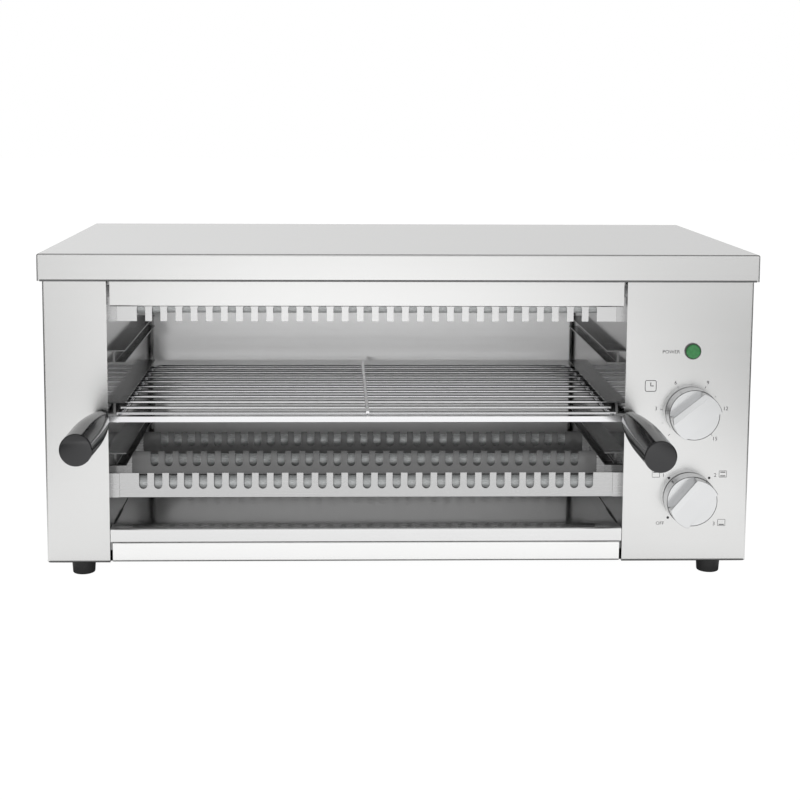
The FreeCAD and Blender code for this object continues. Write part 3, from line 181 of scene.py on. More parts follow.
class Shader(Tree):
    """A surface material."""

    def __init__(self, name: str) -> None:
        """Starts an empty material of this name."""
        self.material = bpy.data.materials.new(name)
        super().__init__(self.material)

    def placed(self, scale: Union[float, Sequence[float]], turn: Sequence[float] = (0, 0, 0),
               start: Sequence[float] = (0, 0, 0)) -> Socket:
        """The object's own coordinates, stretched, turned and counted from a point.

        Args:
            scale: how many units of the pattern go into a metre, in all or along x, y and z.
            turn: rotation about x, y and z in radians.
            start: the point where the pattern starts.

        Returns:
            The vector output.
        """
        sizes = (scale,) * 3 if isinstance(scale, float) else scale
        mapping = self.node(
            "ShaderNodeMapping", Vector=self.coordinates["Object"], Rotation=turn, Scale=sizes,
            Location=[-place * size for place, size in zip(start, sizes)])
        return mapping.outputs["Vector"]

    def noise(self, vector: Socket, detail: float = 2.0, roughness: float = 0.5,
              distortion: float = 0.0) -> Socket:
        """Soft noise between 0 and 1 along a vector, one cell to a unit."""
        return self.node("ShaderNodeTexNoise", Vector=vector, Scale=1.0, Detail=detail,
                         Roughness=roughness, Distortion=distortion).outputs["Fac"]

    def choose(self, factor: Socket, first: Value, second: Value, kind: str = "RGBA") -> Socket:
        """Blends two colours or vectors.

        Args:
            factor: 0 gives the first, 1 the second.
            first: colour or vector at 0.
            second: colour or vector at 1.
            kind: RGBA or VECTOR.

        Returns:
            The blended output.
        """
        node = self.nodes.new("ShaderNodeMix")
        node.data_type = kind
        self.feed(node.inputs["Factor"], factor)
        ends = [socket for socket in node.inputs if socket.name in ("A", "B") and socket.enabled]
        for socket, value in zip(ends, (first, second)):
            self.feed(socket, value)
        return next(socket for socket in node.outputs if socket.enabled)

    def shade(self, colour: Colour, value: Socket, low: float, high: float) -> Socket:
        """A colour that gets lighter and darker with a value.

        Args:
            colour: red, green and blue at full strength.
            value: a pattern between 0 and 1.
            low: multiplier where the pattern is low.
            high: multiplier where it is high.

        Returns:
            The colour output.
        """
        dark = opaque([share * low for share in colour])
        light = opaque([min(share * high, 1.0) for share in colour])
        return self.choose(self.spread(value, 0.0, 1.0), dark, light)

    def bump(self, height: Socket, depth: float, under: Optional[Socket] = None) -> Socket:
        """Turns a height pattern into a surface normal.

        Args:
            height: pattern between 0 and 1.
            depth: height of the pattern in metres.
            under: normal that this one is laid over.

        Returns:
            The normal output.
        """
        node = self.node("ShaderNodeBump", Strength=1.0, Distance=depth, Height=height)
        if under is not None:
            self.feed(node.inputs["Normal"], under)
        return node.outputs["Normal"]

    def finish(self, **inputs: Value) -> Material:
        """Closes the tree with a Principled surface.

        Args:
            inputs: its sockets by name, with _ for a space.

        Returns:
            The material.
        """
        surface = self.node("ShaderNodeBsdfPrincipled", **inputs)
        output = self.nodes.new("ShaderNodeOutputMaterial")
        self.links.new(surface.outputs["BSDF"], output.inputs["Surface"])
        return self.material


@dataclass(frozen=True)
class Steel:
    """Sheet or wire metal with a directional grain, faint smudges and slight waves.

    The grain is noise stretched along the brushing, which runs level: along x on faces that look
    up or down, and along x or y on upright faces. Painted shade darkens the colour along an
    axis: a share of the colour is left at the first of its levels, and the whole colour at the
    second.
    """

    name: str
    colour: Colour = (0.66, 0.66, 0.655)
    roughness: float = 0.26
    roughness_swing: float = 0.008
    grain_depth: float = 0.0
    grain_pitch: float = 1400.0
    grain_along: float = 7.0
    grain_share: float = 0.6
    grain_tint: float = 0.012
    band_pitch_share: float = 0.2
    band_along: float = 2.2
    smudge_pitch: float = 6.0
    smudge_tint: float = 0.015
    wave_depth: float = 0.0
    wave_pitch: float = 9.0
    metallic: float = 1.0
    # Painted shade: the colour is darker towards one end of an axis.
    painted_shade: float = 1.0
    painted_shade_axis: int = 2
    painted_shade_levels: Pair = (0.0, 1.0)
    painted_shade_swing: float = 2.0 * MM
    level_normal: float = 0.7

    def lines(self, tree: Shader, level: Socket, along: float, pitch: float, detail: float,
              roughness: float) -> Socket:
        """Noise in lines that run level, with so many cells to a metre along and across them."""
        upright, flat = tree.placed((along, along, pitch)), tree.placed((along, pitch, along))
        return tree.noise(tree.choose(level, upright, flat, "VECTOR"), detail, roughness)

    def with_painted_shade(self, tree: Shader, colour: Socket, smudge: Socket) -> Socket:
        """The colour, darkened by painted shade at the first of its levels, with an uneven edge."""
        place = tree.split(tree.coordinates["Object"])[self.painted_shade_axis]
        place = tree.maths("ADD", place, tree.spread(smudge, -self.painted_shade_swing, self.painted_shade_swing))
        share = tree.spread(place, self.painted_shade, 1.0, *self.painted_shade_levels)
        return tree.choose(share, opaque(grey(0.0)), colour)

    def make(self) -> Material:
        """Builds the material."""
        tree = Shader(self.name)
        facing = tree.maths("ABSOLUTE", tree.split(tree.coordinates["Normal"])[2])
        level = tree.maths("GREATER_THAN", facing, self.level_normal)
        grain = self.lines(tree, level, self.grain_along, self.grain_pitch, detail=3.0,
                           roughness=0.65)
        bands = self.lines(tree, level, self.band_along,
                           self.grain_pitch * self.band_pitch_share, detail=2.0, roughness=0.5)
        smudge = tree.noise(tree.placed(self.smudge_pitch), detail=3.0, roughness=0.55,
                            distortion=0.4)
        mixed = tree.between(self.grain_share, bands, grain)
        tint = tree.maths("ADD", tree.spread(mixed, -self.grain_tint, self.grain_tint),
                          tree.spread(smudge, -self.smudge_tint, self.smudge_tint))
        # Halfway between half the colour and one and a half of it is the colour itself.
        low, high = (opaque([share * times for share in self.colour]) for times in (0.5, 1.5))
        colour = tree.choose(tree.maths("ADD", tint, 0.5), low, high)
        # Painted shade along one axis.
        if self.painted_shade < 1:
            colour = self.with_painted_shade(tree, colour, smudge)
        swing = self.roughness_swing
        rough = tree.maths(
            "ADD", tree.spread(mixed, self.roughness - swing, self.roughness + swing),
            tree.spread(smudge, -swing / 2, swing / 2))
        inputs = {"Base_Color": colour, "Metallic": self.metallic, "Roughness": rough}
        if self.grain_depth > 0:
            inputs["Normal"] = tree.bump(grain, self.grain_depth)
        if self.wave_depth > 0:
            wave = tree.noise(tree.placed(self.wave_pitch), detail=1.0)
            inputs["Normal"] = tree.bump(wave, self.wave_depth, inputs.get("Normal"))
        return tree.finish(**inputs)


@dataclass(frozen=True)
class Moulding:
    """Moulded, fired or cast material with fine texture and faint colour change."""

    name: str
    colour: Colour
    roughness: float = 0.4
    roughness_swing: float = 0.05
    texture_depth: float = 0.01 * MM
    texture_pitch: float = 900.0
    texture_share: float = 0.4
    cloud_pitch: float = 45.0
    tint: float = 0.06
    metallic: float = 0.0
    index: float = 1.5

    def make(self) -> Material:
        """Builds the material."""
        tree = Shader(self.name)
        fine = tree.noise(tree.placed(self.texture_pitch), roughness=0.6)
        cloud = tree.noise(tree.placed(self.cloud_pitch), detail=3.0)
        pattern = tree.between(self.texture_share, cloud, fine)
        return tree.finish(
            Base_Color=tree.shade(self.colour, pattern, 1 - self.tint, 1 + self.tint),
            Metallic=self.metallic, IOR=self.index,
            Roughness=tree.spread(pattern, self.roughness - self.roughness_swing,
                                  self.roughness + self.roughness_swing),
            Normal=tree.bump(fine, self.texture_depth))


@dataclass(frozen=True)
class Quartz:
    """Frosted quartz: a milky wall that lets some light through, with faint drawing lines."""

    name: str = "frosted_quartz"
    colour: Colour = (0.38, 0.39, 0.39)
    roughness: Pair = (0.20, 0.34)
    shades: Pair = (0.93, 1.05)
    frost_pitch: Colour = (220.0, 900.0, 900.0)
    line_pitch: Colour = (4.0, 500.0, 500.0)
    line_depth: float = 0.01 * MM
    clear_share: float = 0.10
    sheen: float = 0.15
    # Painted light: the tubes, which are off, glow faintly so that they look brighter.
    glow: float = 0.03
    index: float = 1.46

    def make(self) -> Material:
        """Builds the material."""
        tree = Shader(self.name)
        frost = tree.noise(tree.placed(self.frost_pitch), detail=3.0, roughness=0.6)
        lines = tree.noise(tree.placed(self.line_pitch), detail=1.0)
        return tree.finish(
            Base_Color=tree.shade(self.colour, frost, *self.shades), IOR=self.index,
            Roughness=tree.spread(frost, *self.roughness),
            Transmission_Weight=self.clear_share, Metallic=self.sheen,
            # Painted light: a faint glow in the tube's own colour.
            Emission_Color=opaque(self.colour), Emission_Strength=self.glow,
            Normal=tree.bump(lines, self.line_depth))


@dataclass(frozen=True)
class Lens:
    """Translucent lamp lens with rings moulded into its inner face."""

    name: str = "lamp_green_lens"
    colour: Colour = (0.030, 0.165, 0.05)
    roughness: Pair = (0.12, 0.20)
    shades: Pair = (0.85, 1.15)
    ring_pitch: float = 160.0
    ring_depth: float = 0.02 * MM
    cloud_pitch: float = 500.0
    index: float = 1.49

    def make(self) -> Material:
        """Builds the material."""
        tree = Shader(self.name)
        low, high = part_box("lamp_lens")
        rings = tree.node("ShaderNodeTexWave", Scale=1.0,
                          Vector=tree.placed(self.ring_pitch, start=(low + high) / 2))
        rings.wave_type = "RINGS"
        rings.rings_direction = "Y"
        cloud = tree.noise(tree.placed(self.cloud_pitch))
        return tree.finish(
            Base_Color=tree.shade(self.colour, cloud, *self.shades), IOR=self.index,
            Roughness=tree.spread(cloud, *self.roughness),
            Normal=tree.bump(rings.outputs["Fac"], self.ring_depth))


@dataclass(frozen=True)
class Sleeving:
    """Woven heat-proof sleeve: two sets of fine diagonal threads."""

    name: str = "woven_wire_sleeve"
    colour: Colour = (0.55, 0.53, 0.48)
    roughness: float = 0.9
    shades: Pair = (0.75, 1.1)
    thread_pitch: float = 950.0
    thread_turn: float = 0.8
    thread_depth: float = 0.08 * MM

    def make(self) -> Material:
        """Builds the material."""
        tree = Shader(self.name)
        weave = tree.maths("MAXIMUM", *(
            tree.node("ShaderNodeTexWave", Scale=1.0,
                      Vector=tree.placed(self.thread_pitch, (turn,) * 3)).outputs["Fac"]
            for turn in (self.thread_turn, -self.thread_turn)))
        return tree.finish(
            Base_Color=tree.shade(self.colour, weave, *self.shades), Roughness=self.roughness,
            Normal=tree.bump(weave, self.thread_depth))


@dataclass(frozen=True)
class Ramp:
    """A level that changes smoothly from low at start to high at end."""

    start: float
    end: float
    low: float
    high: float

    def of(self, tree: Tree, value: Socket) -> Socket:
        """The level at a value."""
        return tree.spread(value, self.low, self.high, self.start, self.end, smooth=True)


@dataclass(frozen=True)
class Patch:
    """Soft-edged rectangle on the floor, its edge given as a share of its half sizes."""

    centre: Pair
    half: Pair
    edge: float
    strength: float

    def level(self, tree: Shader, x: Socket, y: Socket) -> Socket:
        """Its strength inside and 0 outside."""
        reach = tree.maths("MAXIMUM", *(
            tree.maths("DIVIDE", tree.maths("ABSOLUTE", tree.maths("SUBTRACT", value, middle)),
                       half)
            for value, middle, half in zip((x, y), self.centre, self.half)))
        return Ramp(1 - self.edge, 1 + self.edge, self.strength, 0.0).of(tree, reach)


@dataclass(frozen=True)
class FloorWhite:
    """Even white studio floor.

    Reflections see it shaped like a real set: a wide bright pool in front of the grill, darker
    flags to the left and right of that pool, and shade under the body.
    """

    name: str = "studio_floor"
    colour: Colour = grey(0.15)
    roughness: float = 0.8
    glow: float = 0.97
    shades: Pair = (0.97, 1.03)
    grain_pitch: float = 30.0
    pool: Patch = Patch((0.05, -2.0), (0.33, 1.45), 0.6, 0.48)
    flags: Patch = Patch((2.60, 0.10), (2.04, 1.60), 0.09, 0.94)
    under: Patch = Patch((0.0, 0.040), (0.305, 0.160), 0.06, 0.90)

    def make(self) -> Material:
        """Builds the material."""
        tree = Shader(self.name)
        x, y, _ = tree.split(tree.coordinates["Object"])
        glow = tree.maths("ADD", self.pool.level(tree, x, y), self.glow)
        for patch, across in ((self.flags, tree.maths("ABSOLUTE", x)), (self.under, x)):
            kept = tree.maths("SUBTRACT", 1.0, patch.level(tree, across, y))
            glow = tree.maths("MULTIPLY", glow, kept)
        grain = tree.noise(tree.placed(self.grain_pitch), detail=3.0)
        return tree.finish(
            Base_Color=tree.shade(self.colour, grain, *self.shades), Roughness=self.roughness,
            Specular_IOR_Level=0.0, Emission_Color=opaque(grey(1.0)),
            Emission_Strength=tree.seen(self.glow, glow))


@dataclass(frozen=True)
class Sky:
    """Light from all round as a function of direction, in radians.

    White low behind the grill and low in front, dark straight to the sides and high up, so that
    bends and edges read as fine dark lines, and light again right overhead, so that the lid also
    looks like pale steel from above.
    """

    front_low: Ramp = Ramp(0.03, 0.40, 0.92, 1.10)
    front_high: Ramp = Ramp(0.60, 1.10, 1.0, 0.22)
    back_high: Ramp = Ramp(0.30, 0.95, 0.97, 0.18)
    back_across: Ramp = Ramp(-0.45, 0.45, 1.04, 0.87)
    front_to_back: Ramp = Ramp(1.15, 1.85, 0.0, 1.0)
    side: float = 1.45
    beside: Ramp = Ramp(0.35, 0.85, 0.15, 1.0)
    overhead: Ramp = Ramp(1.15, 1.40, 0.0, 0.72)

    def make(self) -> None:
        """Builds the world.

        The azimuth is counted from straight in front of the grill, to either side alike.
        """
        world = bpy.data.worlds.new("studio")
        bpy.context.scene.world = world
        tree = Tree(world)
        x, y, z = tree.split(tree.coordinates["Generated"])
        turn = tree.maths("ARCTAN2", x, tree.maths("MULTIPLY", y, -1.0))
        azimuth, elevation = tree.maths("ABSOLUTE", turn), tree.maths("ARCSINE", z)
        front = tree.maths("MULTIPLY", self.front_low.of(tree, elevation),
                           self.front_high.of(tree, elevation))
        back = tree.maths("MULTIPLY", self.back_high.of(tree, elevation),
                          self.back_across.of(tree, x))
        light = tree.between(self.front_to_back.of(tree, azimuth), front, back)
        off_side = tree.maths("ABSOLUTE", tree.maths("SUBTRACT", azimuth, self.side))
        light = tree.maths("MULTIPLY", light, self.beside.of(tree, off_side))
        light = tree.maths("MAXIMUM", light, self.overhead.of(tree, elevation))
        background = tree.node("ShaderNodeBackground", Color=opaque(grey(1.0)),
                               Strength=tree.seen(1.0, light))
        output = tree.nodes.new("ShaderNodeOutputWorld")
        tree.links.new(background.outputs[0], output.inputs["Surface"])


def grid_faces(rows: int, columns: int, wrap_rows: bool, wrap_columns: bool) -> np.ndarray:
    """Corners of the quads of a grid whose points are numbered row by row.

    Face (i, j) joins the points (i, j), (i, j+1), (i+1, j+1) and (i+1, j), and an index past the
    end goes back to 0 where the grid is wrapped.

    Args:
        rows: number of rows of points.
        columns: number of points in a row.
        wrap_rows: whether the last row joins the first.
        wrap_columns: whether the end of a row joins its start.

    Returns:
        An array of four indices per face.
    """
    i, j = np.meshgrid(np.arange(rows - (not wrap_rows)), np.arange(columns - (not wrap_columns)),
                       indexing="ij")
    after_i, after_j = (i + 1) % rows, (j + 1) % columns
    corners = (i * columns + j, i * columns + after_j, after_i * columns + after_j,
               after_i * columns + j)
    return np.stack(corners, axis=-1).reshape(-1, 4)


@dataclass
class Skin:
    """Points and faces of one piece, gathered part by part."""

    points: list[np.ndarray] = field(default_factory=list)
    faces: list[list[int]] = field(default_factory=list)
    count: int = 0

    def add(self, points: np.ndarray, faces: Sequence[Sequence[int]]) -> None:
        """Adds points and the faces between them."""
        self.faces += [[k + self.count for k in face] for face in faces]
        self.points.append(points.reshape(-1, 3))
        self.count += points.size // 3

    def grid(self, points: np.ndarray, wrap_rows: bool = False, wrap_columns: bool = False,
             caps: Sequence[int] = ()) -> None:
        """Adds a surface given on a grid.

        Args:
            points: array of rows × columns × 3.
            wrap_rows: whether the last row joins the first.
            wrap_columns: whether each row is a closed ring.
            caps: rings that are closed by a flat face, 0 for the first and -1 for the last.
        """
        rows, columns = points.shape[:2]
        faces = grid_faces(rows, columns, wrap_rows, wrap_columns).tolist()
        if 0 in caps:
            faces.append(list(range(columns))[::-1])
        if -1 in caps:
            faces.append([(rows - 1) * columns + k for k in range(columns)])
        self.add(points, faces)

    def piece(self, name: str, material: Material, smooth_angle: float) -> bpy.types.Object:
        """Makes the object: doubles merged, faces outward, edges sharper than an angle kept.

        Args:
            name: name of the piece.
            material: its finish.
            smooth_angle: edges that turn further than this many degrees stay sharp.

        Returns:
            The object, at the origin.
        """
        mesh = bpy.data.meshes.new(name)
        mesh.from_pydata(np.concatenate(self.points).tolist(), [], self.faces)
        shape = bmesh.new()
        shape.from_mesh(mesh)
        bmesh.ops.remove_doubles(shape, verts=shape.verts, dist=WELD_DISTANCE)
        bmesh.ops.dissolve_degenerate(shape, dist=WELD_DISTANCE, edges=shape.edges)
        bmesh.ops.recalc_face_normals(shape, faces=shape.faces)
        shape.to_mesh(mesh)
        shape.free()
        mesh.polygons.foreach_set("use_smooth", np.ones(len(mesh.polygons), dtype=bool))
        mesh.set_sharp_from_angle(angle=math.radians(smooth_angle))
        mesh.materials.append(material)
        piece = bpy.data.objects.new(name, mesh)
        bpy.context.scene.collection.objects.link(piece)
        return piece

    def fit(self, name: str, material: Material, body: Body, slot: Slot, replaced: str = "",
            smooth_angle: float = SMOOTH_ANGLE) -> None:
        """Makes the piece and fits it to the grill.

        Args:
            name: name of the piece.
            material: its finish.
            body: the body that it rides on.
            slot: its slot in the record; not used.
            replaced: the plain node that it takes the place of, if any.
            smooth_angle: edges that turn further than this many degrees stay sharp.
        """
        piece = self.piece(name, material, smooth_angle)
        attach(piece, body.value)
        if replaced:
            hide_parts(replaced)
        LOG.info("%s: %d faces", name, len(piece.data.polygons))


def circle(radius: float, sides: int) -> np.ndarray:
    """Points (r·cos a, r·sin a), evenly round a circle."""
    angle = np.linspace(0, 2 * np.pi, sides, endpoint=False)
    return radius * np.stack((np.cos(angle), np.sin(angle)), axis=1)


def around(centre: Sequence[float], degrees: float, radius: float) -> np.ndarray:
    """The point (x + r·cos a, z + r·sin a) at an angle and a distance from a centre."""
    turn = math.radians(degrees)
    return np.array(centre) + radius * np.array((math.cos(turn), math.sin(turn)))


def side_axes(axis: np.ndarray) -> tuple[np.ndarray, np.ndarray, np.ndarray]:
    """The unit axis and two directions square to it and to each other."""
    axis = np.asarray(axis, float) / np.linalg.norm(axis)
    helper = np.array((0.0, 0.0, 1.0) if abs(axis[2]) < NEARLY_UPRIGHT else (1.0, 0.0, 0.0))
    first = np.cross(helper, axis)
    first /= np.linalg.norm(first)
    return axis, first, np.cross(axis, first)


def turned(profile: np.ndarray, centre: Sequence[float], axis: Sequence[float],
           segments: int) -> np.ndarray:
    """Surface of revolution.

    Point (i, k) = centre + height_i · axis + radius_i · (cos a_k · first + sin a_k · second),
    with a_k evenly round the circle.

    Args:
        profile: array of (radius, height) in metres.
        centre: start of the axis.
        axis: direction of the heights.
        segments: points round each ring.

    Returns:
        Array of profile points × segments × 3.
    """
    axis, first, second = side_axes(axis)
    across = circle(1.0, segments)[None]
    radius, height = profile[:, 0, None, None], profile[:, 1, None, None]
    return (np.asarray(centre, float) + height * axis
            + radius * (across[..., :1] * first + across[..., 1:] * second))


def rounded(corners: Sequence[Pair], radii: Sequence[float], steps: int = 5) -> np.ndarray:
    """Open line through corners with the inner ones rounded.

    Each rounded corner is the curve (1−t)²·start + 2t(1−t)·corner + t²·end, where start and end
    lie on the two runs at the radius from the corner.

    Args:
        corners: the line's corners.
        radii: how far from each corner the curve starts, 0 for a sharp one.
        steps: points on each curve.

    Returns:
        Array of points × 2.
    """
    corners = np.asarray(corners, float)
    line = [corners[:1]]
    t = np.linspace(0, 1, steps)[:, None]
    for before, corner, after, radius in zip(corners, corners[1:], corners[2:], radii[1:]):
        if radius == 0:
            line.append(corner[None])
            continue
        start = corner + (before - corner) / np.linalg.norm(before - corner) * radius
        end = corner + (after - corner) / np.linalg.norm(after - corner) * radius
        line.append((1 - t) ** 2 * start + 2 * t * (1 - t) * corner + t ** 2 * end)
    line.append(corners[-1:])
    return np.concatenate(line)


def swept(path: np.ndarray, section: np.ndarray, up: Sequence[float]) -> np.ndarray:
    """A section carried along a path.

    Point (i, k) = path_i + section_k,0 · side_i + section_k,1 · up_i, where side_i = direction_i
    × up and up_i = side_i × direction_i.

    Args:
        path: array of points × 3.
        section: array of points × 2 across the path.
        up: direction that the section's second number follows.

    Returns:
        Array of path points × section points × 3.
    """
    direction = np.gradient(path, axis=0)
    direction /= np.linalg.norm(direction, axis=1, keepdims=True)
    side = np.cross(direction, np.asarray(up, float))
    side /= np.linalg.norm(side, axis=1, keepdims=True)
    upward = np.cross(side, direction)
    return (path[:, None] + section[None, :, :1] * side[:, None]
            + section[None, :, 1:] * upward[:, None])


@dataclass
class Studio:
    """Camera, floor and soft light around the grill."""

    eye: Colour = (-0.05397, -1.32999, 0.40768)
    yaw: float = -1.54523
    pitch: float = 6.59169
    roll: float = 0.28631
    focal_length: float = 66.4392
    sensor: float = 36.0
    shift: Pair = (0.03, -0.16)
    clip: Pair = (0.05, 60.0)
    floor_half: float = 9.0
    floor_points: int = 9
    lamp_place: Colour = (-0.35, -2.20, 0.27)
    lamp_target: Colour = (0.0, 0.0, 0.12)
    lamp_side: float = 0.10
    lamp_power: float = 20.0

    def camera(self) -> None:
        """Creates the camera at the photograph's viewing angle.

        Its turn is Rz(yaw) · Rx(90° − pitch) · Rz(roll) from looking straight down.
        """
        data = bpy.data.cameras.new("view")
        data.sensor_width = self.sensor
        data.lens = self.focal_length
        data.shift_x, data.shift_y = self.shift
        data.clip_start, data.clip_end = self.clip
        camera = bpy.data.objects.new("view", data)
        turn = (Matrix.Rotation(math.radians(self.yaw), 4, "Z")
                @ Matrix.Rotation(math.radians(90 - self.pitch), 4, "X")
                @ Matrix.Rotation(math.radians(self.roll), 4, "Z"))
        camera.matrix_world = Matrix.Translation(self.eye) @ turn
        bpy.context.scene.collection.objects.link(camera)
        bpy.context.scene.camera = camera

    def floor(self) -> None:
        """Lays a wide flat floor at the height of the feet."""
        line = np.linspace(-self.floor_half, self.floor_half, self.floor_points)
        x, y = np.meshgrid(line, line)
        skin = Skin()
        skin.grid(np.stack((x, y, np.zeros_like(x)), axis=-1))
        skin.piece("floor", FloorWhite().make(), SMOOTH_ANGLE)

    def lamp(self) -> None:
        """Hangs a square soft light that gives shadows but no image of itself in the metal."""
        data = bpy.data.lights.new("front_light", "AREA")
        data.size, data.energy = self.lamp_side, self.lamp_power
        lamp = bpy.data.objects.new("front_light", data)
        lamp.visible_glossy = False
        aim = (Vector(self.lamp_target) - Vector(self.lamp_place)).to_track_quat("-Z", "Y")
        lamp.matrix_world = Matrix.Translation(self.lamp_place) @ aim.to_matrix().to_4x4()
        bpy.context.scene.collection.objects.link(lamp)

    def build(self) -> None:
        """Sets up camera, floor and light."""
        self.camera()
        self.floor()
        Sky().make()
        self.lamp()
        bpy.context.scene.view_settings.view_transform = "Standard"
        LOG.info("studio ready")


@dataclass
class Handle:
    """One moulded handle: a swelling barrel with a slightly domed front and a bore for its stud.

    Its place is the middle of its back end in x and z, and its tilt is in degrees, up to the
    front.
    """

    side: str
    place: Pair
    tilt: float
    gap: float = 0.2 * MM
    length: float = 122.3 * MM
    base_radius: float = 7.6 * MM
    belly_radius: float = 13.0 * MM
    belly: float = 80.0 * MM
    end_radius: float = 12.7 * MM
    rim: float = 1.2 * MM
    dome: float = 0.5 * MM
    bore_radius: float = 2.35 * MM
    bore_depth: float = 43.2 * MM
    rim_steps: int = 8
    barrel_steps: int = 60
    dome_steps: int = 14
    segments: int = 96

    def barrel(self, along: np.ndarray) -> np.ndarray:
        """Radius at a distance from the back end.

        The barrel is an arc whose chord runs from the base to the belly, and a straight taper
        from the belly to the front.
        """
        swell = self.belly_radius - self.base_radius
        lean = math.atan2(swell, self.belly)
        slope = math.atan2(self.end_radius - self.belly_radius, self.length - self.belly)
        radius = math.hypot(self.belly, swell) / (2 * math.sin(lean - slope))
        centre_along = self.belly + radius * math.sin(slope)
        centre_radius = self.belly_radius - radius * math.cos(slope)
        arc = centre_radius + np.sqrt(np.maximum(radius ** 2 - (along - centre_along) ** 2, 0))
        taper = self.belly_radius + (along - self.belly) * math.tan(slope)
        return np.where(along < self.belly, arc, taper)

    def profile(self) -> np.ndarray:
        """Radius and height from the bottom of the bore, round the barrel, to the front pole.

        The front is a shallow ball of the dome's height, and both ends meet the barrel in a
        quarter round of the rim's radius.
        """
        rim, last = self.rim, self.length - self.dome
        quarter = np.linspace(0, np.pi / 2, self.rim_steps)
        start, edge = self.barrel(np.array([rim, last - rim]))
        back = np.stack((start - rim + rim * np.sin(quarter), rim - rim * np.cos(quarter)),
                        axis=1)
        along = np.linspace(rim, last - rim, self.barrel_steps)[1:-1]
        side = np.stack((self.barrel(along), along), axis=1)
        front = np.stack((edge - rim + rim * np.cos(quarter), last - rim + rim * np.sin(quarter)),
                         axis=1)
        face = np.linspace(edge - rim, 0, self.dome_steps)[1:]
        top = np.stack((face, last + self.dome * (1 - (face / (edge - rim)) ** 2)), axis=1)
        bore = np.array([(0.0, self.bore_depth), (self.bore_radius, self.bore_depth),
                         (self.bore_radius, 0.0)])
        return np.concatenate((bore, back, side, front, top))

    def build(self, material: Material) -> None:
        """Makes the handle, which rides on the rack.

        Args:
            material: its finish.
        """
        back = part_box("rack_front_bar")[0].y - self.gap
        angle = math.radians(self.tilt)
        skin = Skin()
        skin.grid(turned(self.profile(), (self.place[0], back, self.place[1]),
                         (0.0, -math.cos(angle), math.sin(angle)), self.segments),
                  wrap_columns=True)
        skin.fit(f"handle_{self.side}_moulding", material, Body.RACK, Slot.HANDLE_BLACK,
                 replaced=f"handle_{self.side}")


HANDLES = (Handle("left", (-0.2529, 0.1392), 1.3), Handle("right", (0.1968, 0.1385), -1.2))


@dataclass
class HeatingCoils:
    """Wound resistance wire inside the six quartz tubes."""

    outer_radius: float = 3.5 * MM
    wire_radius: float = 0.32 * MM
    turn_pitch: float = 2.6 * MM
    steps_per_turn: int = 11
    sides: int = 4
    tail: float = 6.0 * MM

    def path(self, start: float, end: float, y: float, z: float) -> np.ndarray:
        """Helix along x with straight ends on the axis of its tube.

        x goes evenly from start to end, y and z go round the axis at the winding radius, and the
        radius fades to nothing over the tail at both ends.
        """
        turns = int((end - start) / self.turn_pitch)
        t = np.linspace(0, 1, turns * self.steps_per_turn)
        x = start + (end - start) * t
        fade = np.clip(np.minimum(x - start, end - x) / self.tail, 0, 1)
        radius = (self.outer_radius - self.wire_radius) * np.sqrt(fade)
        angle = 2 * np.pi * turns * t
        return np.stack((x, y + radius * np.cos(angle), z + radius * np.sin(angle)), axis=1)

    def build(self, material: Material) -> None:
        """Makes all the coils as one piece in place of their plain envelopes.

        Args:
            material: its finish.
        """
        skin = Skin()
        low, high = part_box("heating_coils")
        for level in ("lower", "upper"):
            for row in ("front", "middle", "rear"):
                tube_low, tube_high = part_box(f"quartz_tube_{level}_{row}")
                middle = (tube_low + tube_high) / 2
                wire = swept(self.path(low.x, high.x, middle.y, middle.z),
                             circle(self.wire_radius, self.sides), (1.0, 0.0, 0.0))
                skin.grid(wire, wrap_columns=True, caps=BOTH_ENDS)
        skin.fit("wound_heating_coils", material, Body.CASING, Slot.COIL_WIRE,
                 replaced="heating_coils", smooth_angle=80.0)


@dataclass
class Feet:
    """Four turned rubber feet with rounded edges, recessed below for their screws."""

    height: float = 13.7 * MM
    top_radius: float = 10.4 * MM
    base_radius: float = 9.5 * MM
    recess_radius: float = 4.9 * MM
    recess: float = 5.0 * MM
    hole_radius: float = 2.55 * MM
    edge: float = 1.1 * MM
    segments: int = 64

    def build(self, material: Material) -> None:
        """Makes the feet as one piece in place of the plain ones.

        Args:
            material: its finish.
        """
        low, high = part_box("feet")
        inset = self.top_radius
        corners = [
            (self.hole_radius, self.recess), (self.recess_radius, self.recess),
            (self.recess_radius, 0.0), (self.base_radius, 0.0), (self.top_radius, self.height),
            (self.hole_radius, self.height), (self.hole_radius, self.recess)]
        profile = rounded(corners, [0, 0, self.edge / 2, self.edge, self.edge / 3, 0, 0])
        skin = Skin()
        for x in (low.x + inset, high.x - inset):
            for y in (low.y + inset, high.y - inset):
                skin.grid(turned(profile, (x, y, 0.0), (0, 0, 1), self.segments),
                          wrap_columns=True)
        skin.fit("turned_feet", material, Body.CASING, Slot.FOOT_RUBBER, replaced="feet")


@dataclass(frozen=True)
class HeatMark:
    """A figure of the selector's scale, and which bars its pictogram shows."""

    figure: str
    place: Pair
    top: bool
    bottom: bool


